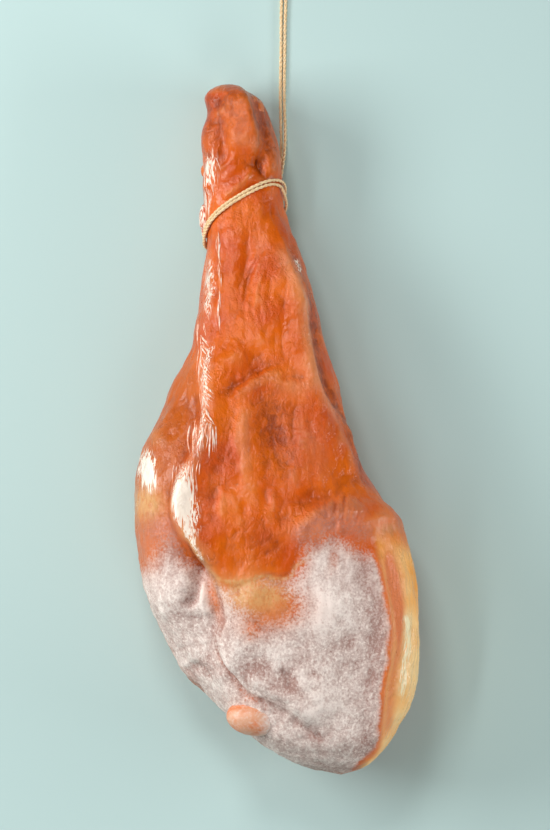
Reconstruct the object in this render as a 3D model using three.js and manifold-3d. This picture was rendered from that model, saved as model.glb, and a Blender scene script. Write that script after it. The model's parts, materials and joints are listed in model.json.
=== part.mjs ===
// A whole cured ham on the bone, lying on its rind with the meat side up, and the doubled twine it hangs by.
// Millimetres, +Z up, the butt end towards -Y and the hock towards +Y. The origin is on the floor, under
// the middle of the ham.
import * as THREE from "three";
import { mergeVertices } from "three/addons/utils/BufferGeometryUtils.js";
import Module from "manifold-3d";

// Driving dimensions of the ham. Stations run along the leg from the butt end, and x is across it.
const HAM_LENGTH = 621;
const HAM_MIDDLE_X = -1;
const BUTT_ROUNDING = 36;
const HOCK_ROUNDING = 16;

// Outline seen from above, as [station, x].
const LEFT_SIDE = [
  [0, 4], [20, -13], [40, -33], [58, -52], [74, -69], [89, -86], [112, -99], [139, -110], [175, -122],
  [206, -128], [240, -131], [265, -130], [292, -123], [319, -110], [355, -94], [388, -77], [427, -69],
  [445, -67], [481, -64], [509, -67.5], [545, -66.5], [573, -68], [595, -62.5], [611, -66], [621, -62],
];
const RIGHT_SIDE = [
  [0, 110], [20, 102], [40, 109], [58, 120], [85, 127.5], [121, 129.5], [175, 126], [211, 118.5],
  [229, 113], [238, 107], [247, 97], [258, 88.5], [274, 79], [301, 67.5], [346, 57], [391, 41], [427, 33],
  [463, 22], [490, 12], [512, 6], [541, 4], [562, 1.5], [583, -4], [599, -10], [610, -17], [621, -30],
];

// Heights above the floor, as [station, z]: where the sides turn under, the crown and the rind below.
const LEFT_TURN = [[0, 68], [90, 56], [180, 52], [300, 56], [390, 50], [450, 42], [505, 39], [621, 38]];
const RIGHT_TURN = [
  [0, 68], [90, 66], [180, 68], [245, 75], [300, 68], [390, 56], [450, 47], [505, 40], [621, 38],
];
const CROWN = [
  [0, 106], [40, 119], [76, 131], [112, 140], [157, 147], [207, 146], [256, 137], [300, 127], [337, 117],
  [373, 107], [427, 93], [481, 79], [525, 71], [560, 70.5], [590, 70], [621, 63],
];
const RIND = [
  [0, 23], [54, 6], [99, -2.5], [180, -4.5], [270, -3], [342, 3], [405, 8], [468, 12], [504, 12], [540, 6],
  [572, -1], [594, 2], [621, 14],
];
const FRONT_SQUARENESS = [[0, 2.1], [90, 2.5], [225, 2.7], [378, 2.5], [504, 2.3], [621, 2.2]];
const BACK_SQUARENESS = [[0, 2.1], [135, 2.4], [270, 2.3], [621, 2.1]];

// Forms on the meat side. Each follows a path of [x, station] points; ridges and grooves fall away on both
// sides of it, and a step lowers what lies to its right, going along the path.
const FORMS = [
  // The edge where the main mass lies over the left lobe, the roll along it and the lobe's own crest.
  {
    kind: "step", height: 19, width: 15, reach: 62,
    path: [
      [-72, 400], [-66, 352], [-68, 324], [-75, 292], [-85, 274], [-93, 250], [-91, 228],
      [-79, 201], [-63, 184], [-52, 150], [-56, 115], [-46, 88], [-29, 70],
    ],
  },
  {
    kind: "ridge", height: 7, width: 13,
    path: [
      [-59, 440], [-59, 391], [-58, 352], [-60, 325], [-66, 300], [-78, 270], [-84, 248],
      [-82, 228], [-70, 203], [-60, 187],
    ],
  },
  {
    kind: "ridge", height: 12, width: 26,
    path: [[-84, 360], [-98, 306], [-110, 261], [-112, 216], [-98, 171], [-89, 135]],
  },
  // The right ridge of the shank, and the groove and flap beside it.
  {
    kind: "ridge", height: 5, width: 11,
    path: [[-4, 478], [9, 438], [24, 393], [32, 352], [46, 312], [62, 286], [80, 264]],
  },
  {
    kind: "groove", height: 6, width: 9,
    path: [[22, 425], [31, 392], [39, 361], [48, 335], [66, 302]],
  },
  // The shoulder over the thick end, and the hollow above it.
  {
    kind: "ridge", height: 8, width: 14,
    path: [[113, 232], [96, 237], [76, 238], [57, 233], [38, 222], [20, 206]],
  },
  { kind: "groove", height: 5, width: 13, path: [[92, 258], [66, 260], [42, 250], [24, 236]] },
  // Folds below the junction, with the pads between them.
  {
    kind: "groove", height: 6, width: 11,
    path: [[-80, 207], [-75, 191], [-63, 178], [-53, 160], [-51, 140], [-54, 113], [-47, 90]],
  },
  { kind: "ridge", height: 4, width: 12, path: [[-68, 176], [-66, 154], [-66, 131]] },
  { kind: "groove", height: 6, width: 11, path: [[-82, 184], [-83, 164], [-88, 144]] },
  { kind: "groove", height: 3, width: 10, path: [[-88, 92], [-74, 87], [-56, 80]] },
  // The fold over the bone head.
  {
    kind: "groove", height: 6, width: 11,
    path: [[-54, 100], [-46, 86], [-34, 74], [-18, 67], [2, 58], [22, 44]],
  },
  { kind: "ridge", height: 5, width: 11, path: [[-28, 90], [-6, 75], [17, 62], [44, 48]] },
  // The edge of the meat along the fat side.
  {
    kind: "ridge", height: 5, width: 10,
    path: [
      [84, 214], [90, 190], [96, 161], [99, 133], [98, 103], [94, 76], [90, 48], [88, 29],
      [80, 14],
    ],
  },
  // Hollows of the broad face.
  { kind: "groove", height: 6, width: 29, path: [[1, 340], [-3, 310], [-6, 276]] },
  { kind: "groove", height: 3, width: 10, path: [[-52, 341], [-25, 354], [11, 359], [34, 354]] },
  // The hock's crest, bulge and dimples.
  {
    kind: "ridge", height: 6, width: 10,
    path: [[-42, 622], [-31, 602], [-25, 586], [-23, 571], [-22, 556]],
  },
  { kind: "ridge", height: 4, width: 13, path: [[-44, 586], [-40, 571], [-42, 556]] },
  { kind: "groove", height: 5, width: 9, path: [[-8, 560], [-14, 548], [-13, 534]] },
  { kind: "groove", height: 5, width: 9, path: [[-64, 604], [-54, 607], [-46, 603]] },
];

// Forms fade out over this share of their path at each end, down to this share of their height. They show
// only where the skin faces upwards: none at the first upward lean, all of it from the second.
const FORM_FADE = 0.25;
const FORM_END = 0.1;
const FACING = [-0.15, 0.35];
const LINE_DETAIL = 6;

// The bone head that stands out of the meat at the butt end, an egg that lies across the leg.
const BONE = { centre: [-24, 49, 95], radii: [23, 13.5, 17], turn: -0.15, segments: [18, 12] };

// The grid that the ham's skin is drawn on.
const ROWS = 96;
const FRONT_COLUMNS = 40;
const BACK_COLUMNS = 15;
const ROW_CROWDING = 0.4;

// The twine, its distance from the skin, and the slanted plane of its two turns round the neck, which passes
// through a station at x = 0, z = 0 and moves along the leg with x and z.
const TWINE = 3;
const TWINE_SIDES = 8;
const SKIN_GAP = 0.6;
const HITCH = { station: 498, perX: 0.643, perZ: 0.628, steps: 100, samples: 240, passes: 12 };

// The hitch's route, from one hanging strand round the neck twice and back under its own bight to the other:
// [turns round the neck from its left side, shift along the leg, height over the skin].
const HITCH_ROUTE = [
  [0.612, 9, 3], [0.612, 4, 3.8], [0.615, 0, 3.9], [0.625, -3, 2.4], [0.65, -5, 0.1], [0.7, -5, 0],
  [0.75, -4, 0], [0.82, -2, 0], [0.9, 0, 0], [1, 0, 0], [1.1, 0, 0], [1.2, 0, 0], [1.3, 0, 0], [1.4, 0, 0],
  [1.5, 0, 0], [1.55, 0, 0], [1.6, 0, 0], [1.62, -0.3, 0.4], [1.645, -2.2, 2.4], [1.665, -6.5, 3.7],
  [1.645, -10.8, 2.4], [1.62, -12.7, 0.4], [1.6, -13, 0], [1.55, -13, 0], [1.5, -12.5, 0], [1.45, -9, 0],
  [1.4, -4.6, 0], [1.3, -3.5, 0], [1.2, -3.5, 0], [1.1, -3.5, 0], [1, -3.5, 0], [0.9, -3.6, 0],
  [0.82, -5.5, 0], [0.75, -7.5, 0], [0.7, -8.4, 0], [0.66, -8.4, 0], [0.63, -8, 0.5], [0.61, -5.8, 2.4],
  [0.6, -2, 3.9], [0.596, 3, 3.8], [0.596, 9, 3],
];

// The two hanging strands as [x, station, z]: out of the hitch, down beside the hock and along the floor.
const STRAND_STEPS = 30;
const LEFT_STRAND = [
  [0.7, 518.1, 16.5], [0.4, 523, 15.8], [0.6, 530, 13.8], [1.5, 538, 11], [2.5, 547, 7.8], [3.2, 557, 4.9],
  [3.4, 568, 2.8], [3.2, 581, 1.8], [2.9, 597, 1.6], [2.7, 615, 1.6], [3, 635, 1.6], [3.3, 655, 1.6],
  [3.3, 675, 1.6], [3.5, 692, 1.6], [3.8, 701, 1.9], [3.9, 709, 3.1], [4, 715.7, 4.3],
];
const RIGHT_STRAND = [
  [3.1, 520.7, 18.9], [2.5, 526, 18.5], [2.6, 533, 16.9], [3.6, 541, 14], [5, 550, 10.3], [6.3, 560, 6.6],
  [6.9, 571, 3.9], [6.9, 584, 2.3], [6.4, 599, 1.7], [6.2, 615, 1.6], [6.4, 635, 1.6], [6.7, 655, 1.6],
  [6.9, 675, 1.6], [7.4, 692, 1.6], [7.5, 701, 1.9], [7.4, 709, 3.1], [7.3, 715.7, 4.3],
];

// The knot that joins the strands' ends: where it lies, its outline as [radius, along], and its two tails.
const KNOT = { centre: [5.6, 716, 5.2], sides: 14, tailSteps: 6 };
const KNOT_OUTLINE = [
  [0, 0], [3.7, 0], [4.6, 1.5], [5, 4], [4.6, 7], [5, 10], [4.6, 12.5], [3.6, 14], [0, 14],
];
const KNOT_TAILS = [
  [[4.2, 726, 5], [3.9, 733, 3.8], [3, 739, 1.9], [1.2, 745, 1.6]],
  [[7, 726, 5], [7.4, 732, 3.8], [8.6, 737, 1.9], [10.6, 741, 1.6]],
];

// A smooth curve through [position, value] points that never overshoots them.
function curve(points) {
  const slopes = points.slice(1).map((p, i) => (p[1] - points[i][1]) / (p[0] - points[i][0]));
  const tangents = points.map((_, i) => {
    const before = slopes[Math.max(i - 1, 0)];
    const after = slopes[Math.min(i, slopes.length - 1)];
    return before * after > 0 ? (2 * before * after) / (before + after) : 0;
  });
  return (at) => {
    let i = points.findIndex((p) => p[0] > at) - 1;
    if (i < 0) i = at <= points[0][0] ? 0 : points.length - 2;
    const span = points[i + 1][0] - points[i][0];
    const s = Math.min(Math.max((at - points[i][0]) / span, 0), 1);
    const s2 = s * s;
    const s3 = s2 * s;
    return (
      (2 * s3 - 3 * s2 + 1) * points[i][1] +
      (s3 - 2 * s2 + s) * span * tangents[i] +
      (3 * s2 - 2 * s3) * points[i + 1][1] +
      (s3 - s2) * span * tangents[i + 1]
    );
  };
}

const smooth = (low, high, value) => {
  const s = Math.min(Math.max((value - low) / (high - low), 0), 1);
  return s * s * (3 - 2 * s);
};

const leftSide = curve(LEFT_SIDE);
const rightSide = curve(RIGHT_SIDE);
const leftTurn = curve(LEFT_TURN);
const rightTurn = curve(RIGHT_TURN);
const crown = curve(CROWN);
const rind = curve(RIND);
const frontSquareness = curve(FRONT_SQUARENESS);
const backSquareness = curve(BACK_SQUARENESS);

// How far the section has opened out at a station, from 0 at each end's tip to 1.
function opening(station) {
  const butt = Math.min(station / BUTT_ROUNDING, 1);
  const hock = Math.min((HAM_LENGTH - station) / HOCK_ROUNDING, 1);
  return Math.sqrt(1 - (1 - butt) ** 2) * Math.sqrt(1 - (1 - hock) ** 2);
}

// The plain rounded body. The angle runs from the left side (0) over the crown to the right side (pi) and
// back below.
function body(station, angle) {
  const open = opening(station);
  const middle = (leftSide(station) + rightSide(station)) / 2;
  const half = ((rightSide(station) - leftSide(station)) / 2) * open;
  const isFront = Math.sin(angle) >= 0;
  const power = 2 / (isFront ? frontSquareness(station) : backSquareness(station));
  const across = -Math.sign(Math.cos(angle)) * Math.abs(Math.cos(angle)) ** power;
  const up = Math.abs(Math.sin(angle)) ** power;
  const share = (across + 1) / 2;
  const turn = leftTurn(station) * (1 - share) + rightTurn(station) * share;
  const reach = (isFront ? crown(station) : rind(station)) - turn;
  return new THREE.Vector3(middle + across * half, station, turn + up * reach * open);
}

// The direction straight out of the plain body.
function outward(station, angle) {
  const dStation = 0.5;
  const dAngle = 0.01;
  const low = Math.max(station - dStation, 0.05);
  const high = Math.min(station + dStation, HAM_LENGTH - 0.05);
  const alongLeg = body(high, angle).sub(body(low, angle));
  const aroundLeg = body(station, angle + dAngle).sub(body(station, angle - dAngle));
  return aroundLeg.cross(alongLeg).normalize();
}

// Points close together on a smooth line through a form's path.
function drawnLine(path) {
  const line = new THREE.SplineCurve(path.map(([x, y]) => new THREE.Vector2(x, y)));
  return line.getPoints(LINE_DETAIL * (path.length - 1));
}
const DRAWN_FORMS = FORMS.map((form) => ({ ...form, line: drawnLine(form.path) }));

// How far a form lifts the skin at (x, y).
function lift(form, x, y) {
  let nearest = Infinity;
  let side = 1;
  let along = 0;
  const { line } = form;
  for (let i = 0; i < line.length - 1; i++) {
    const dx = line[i + 1].x - line[i].x;
    const dy = line[i + 1].y - line[i].y;
    const share = ((x - line[i].x) * dx + (y - line[i].y) * dy) / (dx * dx + dy * dy);
    const kept = Math.min(Math.max(share, 0), 1);
    const away = Math.hypot(x - line[i].x - kept * dx, y - line[i].y - kept * dy);
    if (away < nearest) {
      nearest = away;
      side = Math.sign(dx * (y - line[i].y) - dy * (x - line[i].x)) || 1;
      along = (i + kept) / (line.length - 1);
    }
  }
  const taper = smooth(0, FORM_FADE, along) * smooth(1, 1 - FORM_FADE, along);
  if (form.kind === "step") {
    const lowered = smooth(-form.width / 2, form.width, -side * nearest);
    return -form.height * taper * lowered * smooth(form.reach, form.width, nearest);
  }
  const bell = Math.exp(-((nearest / form.width) ** 2));
  return (form.kind === "ridge" ? 1 : -1) * form.height * (FORM_END + (1 - FORM_END) * taper) * bell;
}

// The ham's skin: the plain body with its forms raised out of it, flat where it lies on the floor.
function skin(station, angle) {
  const point = body(station, angle);
  const normal = outward(station, angle);
  const facing = smooth(...FACING, normal.z);
  const raised = DRAWN_FORMS.reduce((sum, form) => sum + lift(form, point.x, point.y), 0);
  point.addScaledVector(normal, raised * facing);
  point.z = Math.max(point.z, 0);
  return point;
}

// Stations closer together towards the two rounded ends.
function stationOfRow(row) {
  const share = row / ROWS;
  return HAM_LENGTH * (share - (ROW_CROWDING * Math.sin(2 * Math.PI * share)) / (2 * Math.PI));
}

function columnAngles() {
  const front = Array.from({ length: FRONT_COLUMNS }, (_, i) => (Math.PI * i) / FRONT_COLUMNS);
  const back = Array.from({ length: BACK_COLUMNS }, (_, i) => Math.PI * (1 + i / BACK_COLUMNS));
  return [...front, ...back];
}

// The skin as a grid that closes on a point at each end, each cell split along its shorter diagonal.
function skinGeometry() {
  const angles = columnAngles();
  const count = angles.length;
  const points = [skin(0, 0)];
  for (let row = 1; row < ROWS; row++) {
    for (const angle of angles) points.push(skin(stationOfRow(row), angle));
  }
  points.push(skin(HAM_LENGTH, 0));
  const at = (row, column) => 1 + (row - 1) * count + (column % count);
  const faces = [];
  for (let column = 0; column < count; column++) {
    faces.push(0, at(1, column + 1), at(1, column));
    faces.push(points.length - 1, at(ROWS - 1, column), at(ROWS - 1, column + 1));
    for (let row = 1; row < ROWS - 1; row++) {
      const [a, b] = [at(row, column), at(row, column + 1)];
      const [c, d] = [at(row + 1, column + 1), at(row + 1, column)];
      const splitsFromA = points[a].distanceTo(points[c]) < points[b].distanceTo(points[d]);
      faces.push(...(splitsFromA ? [a, b, c, a, c, d] : [a, b, d, b, c, d]));
    }
  }
  const geometry = new THREE.BufferGeometry().setFromPoints(points);
  geometry.setIndex(faces);
  return geometry;
}

// A point on the neck where the twine lies: turns run round the neck from its left side.
function onNeck({ x: turns, y: shift, z: height }) {
  const angle = 2 * Math.PI * turns;
  let station = HITCH.station;
  for (let pass = 0; pass < HITCH.passes; pass++) {
    const point = body(station, angle);
    station = HITCH.station + shift + HITCH.perX * point.x + HITCH.perZ * point.z;
  }
  return body(station, angle).addScaledVector(outward(station, angle), TWINE / 2 + SKIN_GAP + height);
}

// Points close together on the hitch's route, all at their height over the skin.
function hitchPoints() {
  const keys = HITCH_ROUTE.map((key) => new THREE.Vector3(...key));
  return new THREE.CatmullRomCurve3(keys, false, "centripetal").getPoints(HITCH.samples).map(onNeck);
}

// A round cord along a smooth line through points.
function cordGeometry(points, steps) {
  const section = new THREE.Shape(
    Array.from({ length: TWINE_SIDES }, (_, i) => {
      const angle = (2 * Math.PI * i) / TWINE_SIDES;
      return new THREE.Vector2((TWINE / 2) * Math.cos(angle), (TWINE / 2) * Math.sin(angle));
    }),
  );
  const extrudePath = new THREE.CatmullRomCurve3(points, false, "centripetal");
  return new THREE.ExtrudeGeometry(section, { steps, extrudePath, bevelEnabled: false });
}

// Turns a closed mesh into a solid that others can be joined to, and a joined solid back into a mesh.
function asSolid(wasm, geometry) {
  const bare = geometry.clone();
  bare.deleteAttribute("normal");
  bare.deleteAttribute("uv");
  const merged = mergeVertices(bare, 1e-4);
  const vertProperties = new Float32Array(merged.attributes.position.array);
  const triVerts = new Uint32Array(merged.index.array);
  return new wasm.Manifold(new wasm.Mesh({ numProp: 3, vertProperties, triVerts }));
}

function asGeometry(solid) {
  const mesh = solid.getMesh();
  const geometry = new THREE.BufferGeometry();
  geometry.setAttribute("position", new THREE.BufferAttribute(new Float32Array(mesh.vertProperties), 3));
  geometry.setIndex(new THREE.BufferAttribute(new Uint32Array(mesh.triVerts), 1));
  return geometry;
}

const vectors = (points) => points.map((point) => new THREE.Vector3(...point));

function hamGeometry(wasm) {
  const bone = new THREE.SphereGeometry(1, ...BONE.segments).rotateZ(Math.PI / 2).scale(...BONE.radii);
  bone.rotateZ(BONE.turn).translate(...BONE.centre);
  return asGeometry(asSolid(wasm, skinGeometry()).add(asSolid(wasm, bone)));
}

// The knot, drawn tight round both strands, with its two short tails on the floor.
function knotGeometry(wasm) {
  const outline = KNOT_OUTLINE.map(([radius, along]) => new THREE.Vector2(radius, along));
  const barrel = new THREE.LatheGeometry(outline, KNOT.sides).translate(...KNOT.centre);
  const tails = KNOT_TAILS.map((tail) => asSolid(wasm, cordGeometry(vectors(tail), KNOT.tailSteps)));
  return asGeometry(tails.reduce((whole, tail) => whole.add(tail), asSolid(wasm, barrel)));
}

const wasm = await Module();
wasm.setup();

const HAM_COLOR = 0xc9622c;
const TWINE_COLOR = 0xcfa873;
const part = new THREE.Group();

function add(name, geometry, color, roughness) {
  const mesh = new THREE.Mesh(geometry, new THREE.MeshStandardMaterial({ color, roughness, metalness: 0 }));
  mesh.name = name;
  mesh.position.set(-HAM_MIDDLE_X, -HAM_LENGTH / 2, 0);
  part.add(mesh);
}

add("ham", hamGeometry(wasm), HAM_COLOR, 0.45);
add("twine_hitch", cordGeometry(hitchPoints(), HITCH.steps), TWINE_COLOR, 0.9);
add("twine_left", cordGeometry(vectors(LEFT_STRAND), STRAND_STEPS), TWINE_COLOR, 0.9);
add("twine_right", cordGeometry(vectors(RIGHT_STRAND), STRAND_STEPS), TWINE_COLOR, 0.9);
add("twine_knot", knotGeometry(wasm), TWINE_COLOR, 0.9);

export default part;
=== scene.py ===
"""The looks of a whole cured ham on the bone, lying on its rind, meat side up, and of its doubled twine.

Sizes and places are in millimetres in the ham's own frame until they become meshes, which are in metres: x
runs across the leg, the station along it from the butt end, and z up from the floor.
"""

import itertools
import json
import math

import bpy
import numpy as np
from mathutils import Vector
from mathutils.bvhtree import BVHTree
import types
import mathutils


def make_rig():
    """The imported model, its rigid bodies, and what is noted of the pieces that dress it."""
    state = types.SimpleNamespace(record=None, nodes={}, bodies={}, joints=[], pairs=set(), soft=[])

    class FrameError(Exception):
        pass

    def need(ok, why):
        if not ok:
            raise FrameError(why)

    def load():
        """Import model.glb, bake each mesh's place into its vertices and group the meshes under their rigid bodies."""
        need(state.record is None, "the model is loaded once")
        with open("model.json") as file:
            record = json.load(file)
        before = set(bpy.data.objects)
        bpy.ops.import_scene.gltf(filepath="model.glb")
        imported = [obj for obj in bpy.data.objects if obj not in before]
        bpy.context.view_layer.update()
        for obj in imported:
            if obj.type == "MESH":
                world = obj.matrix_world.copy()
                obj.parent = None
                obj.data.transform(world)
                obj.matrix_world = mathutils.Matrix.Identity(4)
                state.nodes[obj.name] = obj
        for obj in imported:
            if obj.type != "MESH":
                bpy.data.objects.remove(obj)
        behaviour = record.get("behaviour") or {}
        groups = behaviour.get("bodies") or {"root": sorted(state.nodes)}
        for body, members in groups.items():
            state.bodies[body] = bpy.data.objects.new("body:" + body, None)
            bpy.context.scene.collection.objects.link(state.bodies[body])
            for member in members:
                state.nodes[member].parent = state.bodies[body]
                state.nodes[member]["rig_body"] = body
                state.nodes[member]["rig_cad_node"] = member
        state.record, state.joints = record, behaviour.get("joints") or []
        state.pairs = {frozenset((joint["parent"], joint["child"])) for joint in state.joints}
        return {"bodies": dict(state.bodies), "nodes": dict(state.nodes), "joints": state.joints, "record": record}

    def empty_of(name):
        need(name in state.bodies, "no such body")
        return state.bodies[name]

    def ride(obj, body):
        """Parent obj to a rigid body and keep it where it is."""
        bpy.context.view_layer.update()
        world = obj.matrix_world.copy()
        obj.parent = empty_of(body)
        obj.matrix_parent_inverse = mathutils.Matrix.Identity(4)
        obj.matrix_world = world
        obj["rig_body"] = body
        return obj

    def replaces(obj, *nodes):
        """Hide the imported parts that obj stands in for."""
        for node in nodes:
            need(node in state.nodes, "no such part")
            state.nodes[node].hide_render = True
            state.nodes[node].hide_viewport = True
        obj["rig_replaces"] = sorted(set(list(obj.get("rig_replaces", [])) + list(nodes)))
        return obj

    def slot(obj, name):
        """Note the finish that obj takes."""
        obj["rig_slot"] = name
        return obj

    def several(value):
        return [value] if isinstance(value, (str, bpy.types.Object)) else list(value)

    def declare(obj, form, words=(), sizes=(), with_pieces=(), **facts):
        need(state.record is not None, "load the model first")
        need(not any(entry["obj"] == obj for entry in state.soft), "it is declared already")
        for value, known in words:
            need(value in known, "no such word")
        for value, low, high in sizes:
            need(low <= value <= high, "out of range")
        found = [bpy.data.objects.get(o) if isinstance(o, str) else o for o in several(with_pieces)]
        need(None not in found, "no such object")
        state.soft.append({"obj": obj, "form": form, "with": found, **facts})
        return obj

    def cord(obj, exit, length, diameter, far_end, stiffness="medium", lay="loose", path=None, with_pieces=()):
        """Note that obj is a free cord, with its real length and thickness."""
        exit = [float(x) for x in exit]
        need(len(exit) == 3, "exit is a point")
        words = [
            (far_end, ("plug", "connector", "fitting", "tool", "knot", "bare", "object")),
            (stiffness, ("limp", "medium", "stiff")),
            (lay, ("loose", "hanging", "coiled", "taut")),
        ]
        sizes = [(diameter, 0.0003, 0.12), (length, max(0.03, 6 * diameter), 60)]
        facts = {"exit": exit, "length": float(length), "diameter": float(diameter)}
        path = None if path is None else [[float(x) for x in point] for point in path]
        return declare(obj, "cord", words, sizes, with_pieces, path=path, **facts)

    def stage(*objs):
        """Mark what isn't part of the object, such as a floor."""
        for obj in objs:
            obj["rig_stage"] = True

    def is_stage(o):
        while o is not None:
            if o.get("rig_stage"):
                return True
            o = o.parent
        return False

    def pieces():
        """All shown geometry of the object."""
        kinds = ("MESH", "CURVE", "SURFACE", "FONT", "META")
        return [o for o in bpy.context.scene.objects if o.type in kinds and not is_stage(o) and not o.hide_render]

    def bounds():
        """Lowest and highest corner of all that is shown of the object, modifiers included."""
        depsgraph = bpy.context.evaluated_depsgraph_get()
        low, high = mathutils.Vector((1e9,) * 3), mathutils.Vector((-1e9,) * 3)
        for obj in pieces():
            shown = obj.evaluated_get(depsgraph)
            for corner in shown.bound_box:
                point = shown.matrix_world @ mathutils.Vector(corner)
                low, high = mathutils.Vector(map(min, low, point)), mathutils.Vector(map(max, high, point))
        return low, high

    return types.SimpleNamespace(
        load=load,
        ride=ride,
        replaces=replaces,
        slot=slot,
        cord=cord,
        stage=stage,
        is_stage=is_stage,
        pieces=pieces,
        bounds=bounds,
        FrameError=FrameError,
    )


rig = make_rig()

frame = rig.load()
CAD_BOX = [list(corner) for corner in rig.bounds()]
MM = 0.001

# Driving dimensions of the ham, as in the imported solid.
HAM_LENGTH = 621
HAM_MIDDLE_X = -1
BUTT_ROUNDING = 36
HOCK_ROUNDING = 16
LEFT_SIDE = [
    (0, 4), (20, -13), (40, -33), (58, -52), (74, -69), (89, -86), (112, -99), (139, -110), (175, -122),
    (206, -128), (240, -131), (265, -130), (292, -123), (319, -110), (355, -94), (388, -77), (427, -69),
    (445, -67), (481, -64), (509, -67.5), (545, -66.5), (573, -68), (595, -62.5), (611, -66), (621, -62),
]
RIGHT_SIDE = [
    (0, 110), (20, 102), (40, 109), (58, 120), (85, 127.5), (121, 129.5), (175, 126), (211, 118.5),
    (229, 113), (238, 107), (247, 97), (258, 88.5), (274, 79), (301, 67.5), (346, 57), (391, 41), (427, 33),
    (463, 22), (490, 12), (512, 6), (541, 4), (562, 1.5), (583, -4), (599, -10), (610, -17), (621, -30),
]
LEFT_TURN = [(0, 68), (90, 56), (180, 52), (300, 56), (390, 50), (450, 42), (505, 39), (621, 38)]
RIGHT_TURN = [
    (0, 68), (90, 66), (180, 68), (245, 75), (300, 68), (390, 56), (450, 47), (505, 40), (621, 38),
]
CROWN = [
    (0, 106), (40, 119), (76, 131), (112, 140), (157, 147), (207, 146), (256, 137), (300, 127), (337, 117),
    (373, 107), (427, 93), (481, 79), (525, 71), (560, 70.5), (590, 70), (621, 63),
]
RIND = [
    (0, 23), (54, 6), (99, -2.5), (180, -4.5), (270, -3), (342, 3), (405, 8), (468, 12), (504, 12),
    (540, 6), (572, -1), (594, 2), (621, 14),
]
FRONT_SQUARENESS = [(0, 2.1), (90, 2.5), (225, 2.7), (378, 2.5), (504, 2.3), (621, 2.2)]
BACK_SQUARENESS = [(0, 2.1), (135, 2.4), (270, 2.3), (621, 2.1)]
BONE = {
    "centre": (-22, 51, 98), "radii": (24, 15.5, 17.5), "rings": 60, "unevenness": 0.03, "turn": -0.15,
}
POWDERY_BONE = (-4, 20)

# The edge where the main mass lies over the left lobe.
LOBE_EDGE = [
    (-72, 400), (-66, 352), (-68, 324), (-75, 292), (-85, 274), (-93, 250), (-91, 228), (-79, 201),
    (-63, 184), (-52, 150), (-56, 115), (-46, 88), (-29, 70),
]

# Forms on the meat side: (kind, height, width, path of (x, station)). Ridges and grooves fall away on both
# sides of the path. A step lowers what lies to its right, going along the path, out to its last number.
FORMS = [
    # The step down to the left lobe, the roll along it and the lobe's own crest.
    ("step", 19, 12, LOBE_EDGE, 62),
    ("ridge", 7, 12, [
        (-59, 440), (-59, 391), (-58, 352), (-60, 325), (-66, 300), (-78, 270), (-84, 248), (-82, 228),
        (-70, 203), (-60, 187)]),
    ("ridge", 12, 26, [(-84, 360), (-98, 306), (-110, 261), (-112, 216), (-98, 171), (-89, 135)]),
    # The right ridge of the shank, and the groove and flap beside it.
    ("ridge", 5, 11, [(-4, 478), (9, 438), (24, 393), (32, 352), (46, 312), (62, 286), (80, 264)]),
    ("groove", 6, 8, [(22, 425), (31, 392), (39, 361), (48, 335), (66, 302)]),
    # The shoulder over the thick end, and the hollow above it.
    ("ridge", 5, 14, [(113, 232), (96, 237), (76, 238), (57, 233), (38, 222), (20, 206)]),
    ("groove", 1, 13, [(92, 258), (66, 260), (42, 250), (24, 236)]),
    # Folds below the junction, with the pads between them.
    ("groove", 6, 10, [
        (-80, 207), (-75, 191), (-63, 178), (-53, 160), (-51, 140), (-54, 113), (-47, 90)]),
    ("ridge", 4, 12, [(-68, 176), (-66, 154), (-66, 131)]),
    ("groove", 5, 5, [(-81, 186), (-78, 172), (-81, 157), (-90, 148)]),
    ("groove", 3, 9, [(-88, 92), (-74, 87), (-56, 80)]),
    # The fold over the bone head.
    ("groove", 6, 10, [(-54, 100), (-46, 86), (-34, 74), (-18, 67), (2, 58), (22, 44)]),
    ("ridge", 5, 11, [(-28, 90), (-6, 75), (17, 62), (44, 48)]),
    # The edge of the meat along the fat side.
    ("ridge", 5, 9, [
        (84, 214), (90, 190), (96, 161), (99, 133), (98, 103), (94, 76), (90, 48), (88, 29), (80, 14)]),
    # The hock's crest, bulge and dimples.
    ("ridge", 6, 10, [(-42, 622), (-31, 602), (-25, 586), (-23, 571), (-22, 556)]),
    ("groove", 5, 9, [(-8, 560), (-14, 548), (-13, 534)]),
    ("groove", 5, 9, [(-64, 604), (-54, 607), (-46, 603)]),
]

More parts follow.
